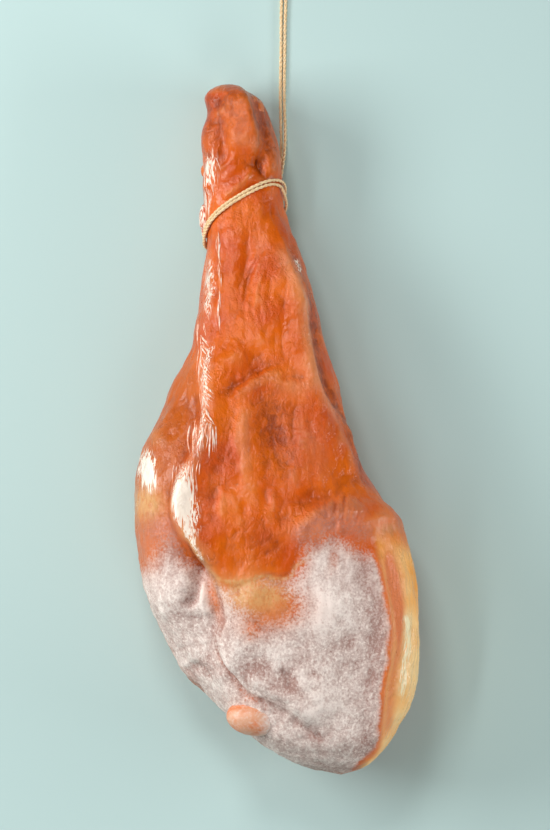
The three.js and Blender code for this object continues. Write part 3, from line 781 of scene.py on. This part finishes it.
def lift(x, y, kind, height, width, path, reach=0):
    """How far a form lifts the skin at each place."""
    away, side, along = from_line(x, y, path)
    taper = faded_ends(along, min(0.5, max(FORM_FADE, FADE_WIDTHS * width / length_of(even_line(path)))))
    if kind == "step":
        lowered = smooth(-width / 2, width, -side * away)
        return -height * taper * lowered * smooth(reach, width, away)
    sign = 1 if kind in ("ridge", "crest") else -1
    is_sharp = kind in ("crest", "crease")
    profile = np.exp(-(np.hypot(away, EDGE) - EDGE) / width) if is_sharp else np.exp(-((away / width) ** 2))
    return sign * height * (FORM_END + (1 - FORM_END) * taper) * profile


def band(x, y, width, path):
    """1 on the line through the path, falling away over the width and towards the line's ends."""
    away, _, along = from_line(x, y, path)
    return np.exp(-((away / width) ** 2)) * faded_ends(along, BAND_FADE)


def beyond(x, y, path):
    """Distance from the line through the path, positive to the left of it, going along."""
    away, side, _ = from_line(x, y, path)
    return away * side


def spot(x, y, centre, radii, turn=0):
    """1 at the middle of an ellipse, about a third at its edge."""
    dx, dy = x - centre[0], y - centre[1]
    across = (dx * math.cos(turn) + dy * math.sin(turn)) / radii[0]
    along = (dy * math.cos(turn) - dx * math.sin(turn)) / radii[1]
    return np.exp(-(across**2 + along**2))


def shown(name, x, y):
    """How much of a look its spots and bands give at each place, from 0 up."""
    spots = sum(weight * spot(x, y, *place) for weight, *place in SPOTS.get(name, ()))
    return spots + sum(weight * band(x, y, *place) for weight, *place in BANDS.get(name, ()))


def zones(points, normals):
    """How much of each look the skin has at each point, from 0 to 1."""
    x, y, _ = points.T
    up = normals[:, 2]
    wander, ragged, sway = (layered(points, *settings) for settings in (WANDER, RAGGED, SWAY))
    x, y = x + WANDER_SHIFT * wander + RAGGED_SHIFT * ragged, y + SWAY_SHIFT * sway
    below = -beyond(x, y, SKIN_END)
    fat_side = beyond(x, y, FACE_EDGE)
    looks = {name: shown(name, x, y) for name in {**SPOTS, **BANDS}}
    looks["ember"] *= smooth(*STATIONS["ember"], y)
    # Pale tendon, painted highlights and gloss show only on faces turned upwards.
    for name in ("tendon_and_highlight", "wet"):
        looks[name] *= smooth(*SLOPES["highlight_and_gloss"], up)
    looks["wet"] += looks["tendon_and_highlight"]
    # Marks, painted shade and painted sheen fade out on faces turned down.
    for name in ("painted_shade", "painted_sheen", "mauve", "ember"):
        looks[name] *= smooth(*SLOPES["marks_and_painted_light"], up)
    bare = looks.pop("bare")
    fade = BLOOM_FADE + sum(more * smooth(low, high, x) for more, low, high in BLOOM_FADE_MORE)
    on_top = smooth(*SLOPES["bloom"], up + 0.15 * wander)
    inside = smooth(*EDGES["bloom"], fat_side)
    looks["bloom"] = smooth(BLOOM_START, fade, below) * inside * on_top * (1 - bare)
    below_shoulder = smooth(*STATIONS["fat"], y + 4 * wander)
    looks["fat"] = smooth(*EDGES["fat"], fat_side) * below_shoulder * smooth(*SLOPES["fat"], up)
    looks["under"] = smooth(*SLOPES["under"], up + 0.12 * wander)
    looks["powder"] = 0.5 + 0.6 * (looks.pop("thick") - looks.pop("thin"))
    looks["low"] = LOW_MOST * smooth(*STATIONS["low"], y)
    looks["lobe"] = smooth(*EDGES["lobe"], -beyond(x, y, LOBE_EDGE)) * smooth(*STATIONS["lobe"], y)
    return {name: np.clip(value, 0, 1) for name, value in looks.items()}


def raised_over_its_surroundings(raised):
    """How far each point of the grid stands out of the mean of the points round it."""
    grid = raised[:-2].reshape(ROWS - 1, FRONT_COLUMNS + BACK_COLUMNS)
    mean = grid
    for axis in (0, 1):
        total = sum(np.roll(mean, shift, axis) for shift in range(-SURROUNDINGS, SURROUNDINGS + 1))
        mean = total / (2 * SURROUNDINGS + 1)
    return np.r_[(grid - mean).ravel(), 0, 0]


def fine_relief(points, bloom):
    """Height of the skin's uneven grain at each point."""
    fields = {"layered": layered, "creased": creased}
    return sum(
        (fields[kind](points, cells, seed, octaves) - middle) * (bare + (bloomed - bare) * bloom)
        for kind, cells, seed, octaves, middle, bare, bloomed in RELIEF
    )


def skin(station, angle):
    """Points of the ham's skin, with its forms and its fine relief, flat where it lies on the floor."""
    plain = body(station, angle)
    normal = outward(station, angle)
    x, y, z = plain.T
    facing = smooth(*FACING, normal[:, 2])
    front = facing > 0
    raised = np.zeros(len(x))
    for form in FORMS + FINE_FORMS:
        raised[front] += lift(x[front], y[front], *form)
    for height, *place in BULGES:
        raised += height * spot(x, y, *place)
    for height, spacing, middle, place, radii in WRINKLES:
        rings = np.hypot(x - middle[0], y - middle[1]) + RING_SHIFT * layered(plain, *RING_SWAY)
        raised += height * np.sin(2 * np.pi * rings / spacing) * spot(x, y, place, radii)
    raised *= facing
    look = zones(plain, normal)
    calm = 1 - HOCK_CALM * smooth(*STATIONS["hock"], station)
    relief = calm * fine_relief(plain, look["bloom"]) - SHRINKAGE * smooth(*STATIONS["shrunk"], station)
    raised += smooth(*RELIEF_HEIGHTS, z) * relief
    off_twine = station - HITCH["station"] - HITCH["per_x"] * x - HITCH["per_z"] * z
    raised *= 1 - PRESSED_FLAT * np.exp(-((off_twine / PRESSED_WIDTH) ** 2))
    # How deep each point lies in a hollow, which paints shade into hollows and light onto crests.
    look["hollow"] = np.clip(0.5 - raised_over_its_surroundings(raised) / RELIEF_RANGE, 0, 1)
    points = plain + normal * raised[:, None]
    points[:, 2] = np.maximum(points[:, 2], 0)
    return points, look


# Making meshes

def mesh_object(name, points, faces, looks=None):
    """A piece from points in the ham's own frame, with one number for each point under each look's name."""
    mesh = bpy.data.meshes.new(name)
    mesh.from_pydata(in_row(points).tolist(), [], faces)
    mesh.update()
    mesh.polygons.foreach_set("use_smooth", [True] * len(mesh.polygons))
    for look, values in (looks or {}).items():
        attribute = mesh.attributes.new(look, "FLOAT", "POINT")
        attribute.data.foreach_set("value", np.asarray(values, np.float32))
    piece = bpy.data.objects.new(name, mesh)
    bpy.context.scene.collection.objects.link(piece)
    return piece


def quads(rows, columns, flipped=False):
    """Faces between one row of points and the next, where each row closes round."""
    side = np.arange(columns)
    following = (side + 1) % columns
    faces = []
    for row in range(rows - 1):
        here, there = row * columns, (row + 1) * columns
        corners = [here + side, here + following, there + following, there + side]
        faces += np.column_stack([corners[0], *corners[:0:-1]] if flipped else corners).tolist()
    return faces


def fan(pole, ring, flipped):
    """Faces from a pole to the ring of points next to it."""
    following = np.roll(ring, -1)
    sides = (following, ring) if flipped else (ring, following)
    return np.column_stack([np.full(len(ring), pole), *sides]).tolist()


def closed_grid(rows, columns, flipped=False):
    """Faces of rows of points that close round, and of the two poles, which are the last two points."""
    pole, ring = rows * columns, np.arange(columns)
    fans = fan(pole, ring, not flipped) + fan(pole + 1, pole - columns + ring, flipped)
    return quads(rows, columns, flipped) + fans


def skin_grid():
    """Points, faces and looks of the ham's skin: a grid that closes on a point at each end."""
    share = np.arange(1, ROWS) / ROWS
    stations = HAM_LENGTH * (share - ROW_CROWDING * np.sin(2 * np.pi * share) / (2 * np.pi))
    front = np.pi * np.arange(FRONT_COLUMNS) / FRONT_COLUMNS
    back = np.pi * (1 + np.arange(BACK_COLUMNS) / BACK_COLUMNS)
    angles = np.r_[front, back]
    station, angle = (grid.ravel() for grid in np.meshgrid(stations, angles, indexing="ij"))
    tips = np.array([0.0, HAM_LENGTH])
    points, looks = skin(np.r_[station, np.clip(tips, TIP_GAP, HAM_LENGTH - TIP_GAP)], np.r_[angle, 0, 0])
    points[-2:] = body(tips, np.zeros(2))
    return points, closed_grid(ROWS - 1, len(angles)), looks


def tendon_and_glint_streaks(points, faces):
    """Thin raised streaks lying half sunk in the skin, pale tendon whose white also paints glints."""
    draw = np.random.default_rng(STREAK["seed"])
    ground = BVHTree.FromPolygons(points.tolist(), faces)
    steps = np.linspace(0, 1, STREAK["steps"])
    parts = []
    for count, width, lengths, direction, wander, spread, path in STREAKS:
        line = even_line(path)
        for place in np.linspace(0, len(line) - 1, count).astype(int):
            start = line[place] + draw.normal(0, spread, 2)
            turn = math.radians(direction + draw.normal(0, wander))
            bend = draw.normal(0, STREAK["bend"]) * np.sin(np.pi * steps)
            ahead = np.array([math.cos(turn), math.sin(turn)])
            aside = np.array([-ahead[1], ahead[0]])
            reach = draw.uniform(*lengths)
            flat = start + reach * (steps[:, None] * ahead + bend[:, None] * aside)
            below = [ground.ray_cast(Vector((x, y, ABOVE_HAM)), Vector((0, 0, -1)))[0] for x, y in flat]
            if None in below:
                continue
            thick = width * draw.uniform(*STREAK["thickness"])
            radius = 0.5 * thick * (STREAK["tip"] + np.sin(np.pi * steps ** STREAK["skew"]))
            parts.append(tube(np.array(below), radius, STREAK["sides"]))
    return mesh_object("tendon_and_glint_streaks", *joined(parts))


def lump(centre, radii, rings, unevenness, turn=0):
    """Points and faces of a slightly lumpy egg whose long axis runs across the leg, turned about z."""
    sides = rings * 3 // 2
    polar = np.pi * np.arange(1, rings) / rings
    around = 2 * np.pi * np.arange(sides) / sides
    p, a = (grid.ravel() for grid in np.meshgrid(polar, around, indexing="ij"))
    ball = np.column_stack([np.cos(p), np.sin(p) * np.cos(a), np.sin(p) * np.sin(a)])
    points = np.vstack([ball, (1, 0, 0), (-1, 0, 0)]) * radii
    points *= 1 + unevenness * layered(points, min(radii) * 0.6, *LUMP_NOISE)[:, None]
    c, s = math.cos(turn), math.sin(turn)
    turned = points @ np.array([[c, s, 0], [-s, c, 0], [0, 0, 1]])
    return turned + centre, closed_grid(rings - 1, sides, flipped=True)


def joined(parts):
    """Several (points, faces) as one."""
    all_points, all_faces, start = [], [], 0
    for points, faces in parts:
        all_points.append(points)
        all_faces += [[start + i for i in face] for face in faces]
        start += len(points)
    return np.vstack(all_points), all_faces


# The twine

def on_neck(turns, shift, height):
    """Points on the neck where the twine lies: turns run round the neck from its left side."""
    angle = 2 * np.pi * turns
    station = np.full(len(turns), float(HITCH["station"]))
    for _ in range(HITCH["passes"]):
        point = body(station, angle)
        station = HITCH["station"] + shift + HITCH["per_x"] * point[:, 0] + HITCH["per_z"] * point[:, 2]
    return body(station, angle) + outward(station, angle) * (TWINE / 2 + SKIN_GAP + height)[:, None]


def hitch_path():
    return spaced(on_neck(*chord_line(HITCH_ROUTE, HITCH["samples"]).T), TWINE_STEP)


def strand_path(points):
    return spaced(chord_line(points, STRAND_DETAIL * len(points)), TWINE_STEP)


def frames_along(path):
    """Two directions across the path at each point, which don't spin round it."""
    ahead = np.gradient(path, axis=0)
    ahead /= np.linalg.norm(ahead, axis=1)[:, None]
    side = np.cross(ahead[0], UNLIKE_ANY_START)
    sides = []
    for direction in ahead:
        side = side - direction * (side @ direction)
        side = side / np.linalg.norm(side)
        sides.append(side)
    sides = np.array(sides)
    return sides, np.cross(ahead, sides)


def tube(path, radius, sides):
    """Points and faces of a round tube with closed ends. The radius is one number or one for each point."""
    across, over = frames_along(path)
    angle = 2 * np.pi * np.arange(sides) / sides
    ring = np.cos(angle)[None, :, None] * across[:, None] + np.sin(angle)[None, :, None] * over[:, None]
    radius = np.broadcast_to(radius, len(path))[:, None, None]
    points = (path[:, None] + ring * radius).reshape(-1, 3)
    side = np.arange(sides)
    ends = [side[::-1].tolist(), (len(points) - sides + side).tolist()]
    return points, quads(len(path), sides) + ends


def twine_object(name, parts):
    """A piece of twine from its tubes, kept clear of the floor."""
    points, faces = joined(parts)
    points[:, 2] = np.maximum(points[:, 2], FLOOR_GAP)
    return mesh_object(name, points, faces)


def twisted(name, path, seed):
    """Two plies laid round each other along a path, with loose fibres standing off them."""
    along = distances_along(path)
    across, over = frames_along(path)
    draw = np.random.default_rng(seed)
    uneven = layered(np.column_stack([along, along * 0, along * 0]), PLY["uneven_length"], seed, 2)
    ply_radius = PLY["radius"] * (1 + PLY["unevenness"] * uneven)
    parts = []
    for ply in range(2):
        turn = 2 * np.pi * along / PLY["pitch"] + np.pi * ply
        offset = PLY["offset"] * (np.cos(turn)[:, None] * across + np.sin(turn)[:, None] * over)
        parts.append(tube(path + offset, ply_radius, PLY["sides"]))
    for _ in range(int(along[-1] / FIBRE["spacing"])):
        at = draw.integers(2, len(path) - 3)
        turn = draw.uniform(0, 2 * np.pi)
        outwards = math.cos(turn) * across[at] + math.sin(turn) * over[at]
        ahead = path[at + 1] - path[at]
        ahead = ahead / np.linalg.norm(ahead) * draw.choice([-1, 1])
        reach = draw.uniform(*FIBRE["reach"])
        steps = np.linspace(0, 1, FIBRE["steps"])[:, None]
        off = FIBRE["start"] + FIBRE["rise"] * steps + steps**2 * draw.uniform(*FIBRE["curl"])
        fibre = path[at] + outwards * off + ahead * reach * steps
        parts.append(tube(fibre, FIBRE["radius"], FIBRE["sides"]))
    return twine_object(name, parts)


def knot():
    """An overhand knot pulled tight: turns of the doubled twine round its two strands, and two tails."""
    centre = np.array(KNOT["centre"], float)
    parts = []
    for strand in range(2):
        t = np.linspace(0, 1, KNOT["steps"])
        turn = 2 * np.pi * KNOT["turns"] * t + np.pi * strand
        radius = KNOT["radius"] * (1 + KNOT["unevenness"] * np.sin(3 * np.pi * t))
        y = TWINE / 2 + (KNOT["length"] - TWINE) * t
        path = centre + np.column_stack([radius * np.cos(turn), y, radius * np.sin(turn)])
        parts.append(tube(path, TWINE / 2, PLY["sides"]))
    inside = np.linspace(KNOT["core_gap"], KNOT["length"] - KNOT["core_gap"], KNOT["core_steps"])
    core = centre + np.column_stack([inside * 0, inside, inside * 0])
    parts.append(tube(core, KNOT["core_radius"], KNOT["core_sides"]))
    for tail in KNOT_TAILS:
        path = spaced(chord_line(tail, KNOT["tail_steps"]), TWINE_STEP)
        taper = np.interp(np.linspace(0, 1, len(path)), *KNOT["tail_taper"])
        parts.append(tube(path, KNOT["tail_radius"] * taper, PLY["sides"]))
    return twine_object("twine_overhand_knot", parts)


# Materials

def colour(red, green, blue):
    """A linear colour from the 0 to 255 values of a screen."""
    def linear(value):
        value /= 255
        return value / 12.92 if value <= 0.04045 else ((value + 0.055) / 1.055) ** 2.4

    return (linear(red), linear(green), linear(blue), 1)


class Nodes:
    """Adds shader nodes to one material."""

    def __init__(self, name):
        self.material = bpy.data.materials.new(name)
        self.material.use_nodes = True
        self.tree = self.material.node_tree

    def add(self, kind, inputs=(), **settings):
        node = self.tree.nodes.new("ShaderNode" + kind)
        for key, value in settings.items():
            setattr(node, key, value)
        self.put(node, inputs)
        return node

    def put(self, node, inputs):
        for socket, value in dict(inputs).items():
            if isinstance(value, bpy.types.NodeSocket):
                self.tree.links.new(value, node.inputs[socket])
            else:
                node.inputs[socket].default_value = value

    def finished(self, inputs):
        """The material, with these values and links on its shader."""
        self.put(self.tree.nodes["Principled BSDF"], inputs)
        return self.material

    def look(self, name):
        return self.add("Attribute", attribute_name=name).outputs["Fac"]

    def math(self, operation, a, b, clamp=False):
        return self.add("Math", {0: a, 1: b}, operation=operation, use_clamp=clamp).outputs[0]

    def times(self, a, b):
        return self.math("MULTIPLY", a, b)

    def total(self, value, *others, clamp=False):
        for other in others[:-1]:
            value = self.math("ADD", value, other)
        return self.math("ADD", value, others[-1], clamp)

    def less(self, value, share):
        """1 where the value is 0, less by this share where it is 1."""
        return self.math("SUBTRACT", 1.0, self.times(value, share))

    def ramp(self, value, low, high, start=0.0, end=1.0):
        inputs = {"Value": value, "From Min": low, "From Max": high, "To Min": start, "To Max": end}
        return self.add("MapRange", inputs, interpolation_type="SMOOTHSTEP").outputs[0]

    def either_way(self, value, most):
        """A noise as a smooth change from -most to most."""
        return self.ramp(value, 0.3, 0.7, -most, most)

    def mix(self, share, a, b):
        return self.add("Mix", {0: share, 6: a, 7: b}, data_type="RGBA").outputs[2]

    def mix_values(self, share, a, b):
        return self.add("Mix", {0: share, 2: a, 3: b}, data_type="FLOAT").outputs[0]

    def noise(self, cells, detail, roughness=0.5, distortion=0.0):
        """Noise whose cells are this large in millimetres, one number or one for each axis."""
        sizes = np.broadcast_to(np.asarray(cells, float), 3)
        mapping = {"Vector": self.add("TexCoord").outputs["Object"], "Scale": [1 / (MM * s) for s in sizes]}
        scaled = self.add("Mapping", mapping).outputs[0]
        settings = {"Scale": 1.0, "Detail": detail, "Roughness": roughness, "Distortion": distortion}
        return self.add("TexNoise", {"Vector": scaled, **settings}).outputs[0]

    def bump(self, height, distance, strength, normal=None):
        """Height from 0 to 1 as relief of this depth in millimetres."""
        inputs = {"Height": height, "Distance": distance * MM, "Strength": strength}
        if normal is not None:
            inputs["Normal"] = normal
        return self.add("Bump", inputs).outputs[0]


ORANGE = colour(224, 104, 6)
DEEP_ORANGE = colour(200, 76, 6)
LOBE_ORANGE = colour(188, 90, 16)
# Painted sheen and highlights.
PAINTED_SHEEN_PINK = colour(236, 146, 104)
# Painted shade.
PAINTED_SHADE_COLOUR = colour(130, 48, 10)
EMBER = colour(224, 118, 58)
MAUVE = colour(190, 118, 96)
# Warm patches of the skin, and also the painted highlight on crests.
WARM = colour(218, 166, 108)
# Pale tendon and gristle, and painted highlights.
TENDON_AND_HIGHLIGHT = colour(252, 236, 218)
BLOOM_WHITE = colour(250, 236, 226)
BLOOM_MAUVE = colour(174, 138, 128)
FAT_GOLD = colour(246, 160, 52)
FAT_PALE = colour(255, 210, 142)
# A painted highlight on the fat's side.
PAINTED_FAT_HIGHLIGHT = colour(255, 232, 184)
RIND_BROWN = colour(176, 96, 44)
KNOB = colour(226, 124, 66)
KNOB_PALE = colour(230, 172, 138)
TWINE_PALE = colour(255, 230, 184)
TWINE_DARK = colour(216, 174, 120)
TWINE_FUZZ = colour(242, 220, 182)
FLOOR = colour(190, 216, 213)


def skin_material():
    n = Nodes("cured_skin")
    broad, middling, fine = n.noise(46, 3), n.noise(14, 4, 0.6), n.noise((3, 5, 3), 4, 0.6)
    grain, sand = n.noise(1.2, 2), n.noise(2.2, 3, 0.6)
    fibre, lines = n.noise((2.6, 16, 2.6), 4, 0.6, 0.4), n.noise((1.3, 20, 1.3), 3, 0.55)
    wrinkles = n.noise((6, 8, 6), 4, 0.6, 0.3)
    dust, specks = n.noise((2.2, 3, 2.2), 5, 0.75, 0.2), n.noise((2.4, 3, 2.4), 4, 0.75)
    cloud, drape = n.noise((13, 18, 13), 5, 0.68, 0.6), n.noise((4, 16, 4), 5, 0.65, 0.3)
    rough_places = n.ramp(n.noise(34, 2), 0.4, 0.6, 0.45, 1)

    def uneven(name, share, least, most):
        """A look that shows fully only where the share is at its most."""
        return n.times(n.look(name), n.ramp(share, least, most, 0.45, 1.0))

    # Painted shade in the hollows of the relief and in the dips of the wrinkles.
    hollow = n.times(n.ramp(n.look("hollow"), 0.5, 1), n.ramp(wrinkles, 0.62, 0.38, 0.25, 0.55))
    paleness = n.total(n.ramp(broad, 0.35, 0.65, -0.2, 0.5), n.look("low"), clamp=True)

    # Powdery bloom: where it is thick it is white, and the mauve meat shows where it is thin.
    # It is whiter on crests and mauver in hollows, as painted light and shade.
    cover = n.total(n.look("bloom"), n.either_way(dust, 0.15), n.either_way(sand, 0.25))
    cover = n.times(n.ramp(cover, 0.15, 0.75), n.look("bloom"))
    amount = n.total(
        n.look("powder"), n.either_way(cloud, 0.14), n.either_way(drape, 0.1), n.either_way(dust, 0.1),
        n.either_way(sand, 0.2),
        n.times(n.ramp(specks, 0.5, 0.62), n.ramp(n.look("low"), 0, LOW_MOST, 0.08, 0.42)),
        n.ramp(n.look("hollow"), 0, 1, 0.22, -0.26),
        clamp=True,
    )
    bloom = n.mix(amount, BLOOM_MAUVE, BLOOM_WHITE)
    bloom = n.mix(n.times(uneven("ember", specks, 0.4, 0.6), 0.6), bloom, EMBER)

    # Pale tendon and fat in streaks along the leg, and painted highlights.
    pale_streaks_and_glints = n.total(n.look("tendon_and_highlight"), n.ramp(lines, 0.38, 0.62, -0.4, 0.4))
    pale_streaks_and_glints = n.times(n.ramp(pale_streaks_and_glints, 0.3, 0.6), n.ramp(n.look("tendon_and_highlight"), 0.05, 0.35))

    base = n.mix(n.ramp(broad, 0.3, 0.7), ORANGE, DEEP_ORANGE)
    for share, coat in (
        (n.times(n.look("lobe"), 0.85), LOBE_ORANGE),
        # Painted shade in hollows and wrinkles.
        (hollow, PAINTED_SHADE_COLOUR),
        # A painted highlight on crests.
        (n.ramp(n.look("hollow"), 0.5, 0, 0, 0.2), WARM),
        # Painted sheen.
        (n.times(uneven("painted_sheen", fibre, 0.35, 0.65), 0.65), PAINTED_SHEEN_PINK),
        (uneven("warm", fine, 0.3, 0.65), WARM),
        (uneven("ember", fine, 0.3, 0.6), EMBER),
        # Painted shade in creases, hollows and planes turned from the light, deeper in the wrinkles' dips.
        (n.times(uneven("painted_shade", wrinkles, 0.6, 0.4), 0.8), PAINTED_SHADE_COLOUR),
        (n.ramp(fine, 0.5, 0.75, 0, 0.2), DEEP_ORANGE),
        # Painted shade in the dips of the wrinkles.
        (n.ramp(wrinkles, 0.46, 0.3, 0, 0.14), PAINTED_SHADE_COLOUR),
        (n.times(uneven("mauve", sand, 0.4, 0.6), 0.85), MAUVE),
        (n.look("fat"), n.mix(paleness, FAT_GOLD, FAT_PALE)),
        (n.times(n.look("ember"), n.look("fat")), EMBER),
        (n.look("under"), n.mix(n.ramp(middling, 0.3, 0.7), RIND_BROWN, ORANGE)),
        (cover, bloom),
        # Pale tendon, and painted highlights that turn gold on the fat.
        (pale_streaks_and_glints, n.mix(n.look("fat"), TENDON_AND_HIGHLIGHT, PAINTED_FAT_HIGHLIGHT)),
    ):
        base = n.mix(share, base, coat)

    rough = n.mix_values(n.look("wet"), n.ramp(middling, 0.3, 0.7, 0.36, 0.26), 0.2)
    relief = None
    for height, depth, strength in (
        (fibre, 0.2, n.less(cover, 0.6)),
        (n.times(wrinkles, rough_places), 2.4, n.less(cover, 0.7)),
        (n.times(fine, rough_places), 0.7, 0.5),
        (n.times(specks, cover), 0.5, 0.8),
        (n.times(dust, cover), 0.5, 0.8),
        (grain, 0.08, 0.6),
    ):
        relief = n.bump(height, depth, strength, relief)
    return n.finished({
        "Base Color": base,
        "Roughness": n.mix_values(cover, rough, 0.88),
        "Coat Weight": n.times(n.ramp(n.look("wet"), 0, 1, 0.3, 1), n.less(cover, 1.0)),
        "Coat Roughness": 0.12,
        "Specular IOR Level": 0.2,
        "Normal": relief,
        "Coat Normal": relief,
    })


def bone_material():
    n = Nodes("bone_head")
    broad, fine = n.noise(15, 3), n.noise(2.4, 4, 0.6)
    powder = n.total(n.look("powdery"), n.either_way(fine, 0.3), clamp=True)
    base = n.mix(n.ramp(broad, 0.35, 0.65), KNOB, KNOB_PALE)
    for share in (n.ramp(fine, 0.45, 0.8, 0, 0.4), n.times(powder, n.look("powdery"))):
        base = n.mix(share, base, BLOOM_WHITE)
    rough = n.ramp(fine, 0.3, 0.7, 0.3, 0.45)
    return n.finished({"Base Color": base, "Roughness": rough, "Normal": n.bump(fine, 0.25, 0.6)})


def gristle_material():
    n = Nodes("gristle")
    lines, fine = n.noise((1.4, 14, 1.4), 3), n.noise(2.4, 4, 0.6)
    base = n.mix(n.ramp(lines, 0.42, 0.55), DEEP_ORANGE, TENDON_AND_HIGHLIGHT)
    return n.finished({"Base Color": base, "Roughness": 0.3, "Normal": n.bump(fine, 0.4, 0.8)})


def tendon_and_glint_material():
    n = Nodes("tendon_and_glints")
    # The streaks' white and pink are tendon and also painted glints.
    base = n.mix(n.ramp(n.noise((2, 7, 2), 3), 0.35, 0.65), PAINTED_SHEEN_PINK, TENDON_AND_HIGHLIGHT)
    return n.finished({"Base Color": base, "Roughness": 0.2})


def twine_material():
    n = Nodes("twine_fibre")
    along, fine = n.noise((0.5, 3, 0.5), 3), n.noise(6, 2)
    base = n.mix(n.ramp(along, 0.35, 0.65), TWINE_DARK, TWINE_PALE)
    base = n.mix(n.ramp(fine, 0.3, 0.7, 0, 0.3), base, TWINE_FUZZ)
    return n.finished({"Base Color": base, "Roughness": 0.85, "Normal": n.bump(along, 0.25, 0.8)})


# The camera, the floor and the lights

def add_camera():
    camera = bpy.data.objects.new("camera", bpy.data.cameras.new("camera"))
    camera.data.sensor_width = SENSOR
    camera.data.lens = SENSOR * CAMERA_DISTANCE / VIEW_LENGTH
    camera.data.clip_end = CAMERA_CLIP
    camera.location = (VIEW_CENTRE[0] * MM, VIEW_CENTRE[1] * MM, (VIEW_HEIGHT + CAMERA_DISTANCE) * MM)
    bpy.context.scene.collection.objects.link(camera)
    bpy.context.scene.camera = camera


def add_softbox(name, place, target_height, size, watts):
    light = bpy.data.objects.new(name, bpy.data.lights.new(name, "AREA"))
    light.data.shape = "RECTANGLE"
    light.data.size, light.data.size_y = size
    light.data.energy = watts
    light.location = place
    towards = Vector((0, 0, target_height)) - Vector(place)
    light.rotation_euler = towards.to_track_quat("-Z", "Y").to_euler()
    light.visible_camera = False
    bpy.context.scene.collection.objects.link(light)


def add_floor():
    corners = [(x * FLOOR_REACH, y * FLOOR_REACH, 0) for x, y in ((-1, -1), (1, -1), (1, 1), (-1, 1))]
    mesh = bpy.data.meshes.new("floor")
    mesh.from_pydata(corners, [], [(0, 1, 2, 3)])
    floor = bpy.data.objects.new("floor", mesh)
    bpy.context.scene.collection.objects.link(floor)
    mesh.materials.append(Nodes("floor").finished({"Base Color": FLOOR, "Roughness": 0.9}))
    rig.stage(floor)


def add_studio():
    world = bpy.data.worlds.new("studio")
    world.use_nodes = True
    background = world.node_tree.nodes["Background"]
    background.inputs["Color"].default_value = (1, 1, 1, 1)
    background.inputs["Strength"].default_value = WORLD_STRENGTH
    bpy.context.scene.world = world
    bpy.context.scene.view_settings.view_transform = "Standard"
    add_floor()
    for light in LIGHTS:
        add_softbox(*light)


# Putting it together

add_camera()
twine = twine_material()
hitch = twisted("twine_girth_hitch", hitch_path(), 1)
knotted = knot()
left = twisted("twine_left_strand", strand_path(LEFT_STRAND), 2)
right = twisted("twine_right_strand", strand_path(RIGHT_STRAND), 3)
for piece, node in (
    (hitch, "twine_hitch"), (knotted, "twine_knot"), (left, "twine_left"), (right, "twine_right"),
):
    piece.data.materials.append(twine)
    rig.ride(piece, "root")
    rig.replaces(piece, node)
    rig.slot(piece, "twine")
for piece, route, with_pieces in ((left, LEFT_STRAND, [knotted]), (right, RIGHT_STRAND, [])):
    path = in_row(strand_path(route))
    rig.cord(
        piece, exit=path[0], length=length_of(path), diameter=TWINE * MM, far_end="knot", stiffness="limp",
        lay="loose", path=path, with_pieces=with_pieces,
    )

skin_points, skin_faces, skin_looks = skin_grid()
ham = mesh_object("ham_skin", skin_points, skin_faces, skin_looks)
bone_points, bone_faces = lump(**BONE)
powdery = smooth(*POWDERY_BONE, bone_points[:, 0] - BONE["centre"][0])
bone = mesh_object("bone_head", bone_points, bone_faces, {"powdery": powdery})
pale_streaks_and_glints = tendon_and_glint_streaks(skin_points, skin_faces)
bumps = mesh_object("skin_bumps", *joined([lump(*bump, 30, 0.1) for bump in BUMPS]))
stubs = mesh_object("gristle_stubs", *joined([lump(*stub, 24, 0.2) for stub in STUBS]))
cured_skin = skin_material()
for piece, material in (
    (ham, cured_skin), (bone, bone_material()), (pale_streaks_and_glints, tendon_and_glint_material()), (bumps, cured_skin),
    (stubs, gristle_material()),
):
    piece.data.materials.append(material)
    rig.ride(piece, "root")
    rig.replaces(piece, "ham")
    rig.slot(piece, "cured_meat")
add_studio()

with open("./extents.json", "w") as file:
    json.dump({"cad": CAD_BOX, "visual": [list(corner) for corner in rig.bounds()]}, file)
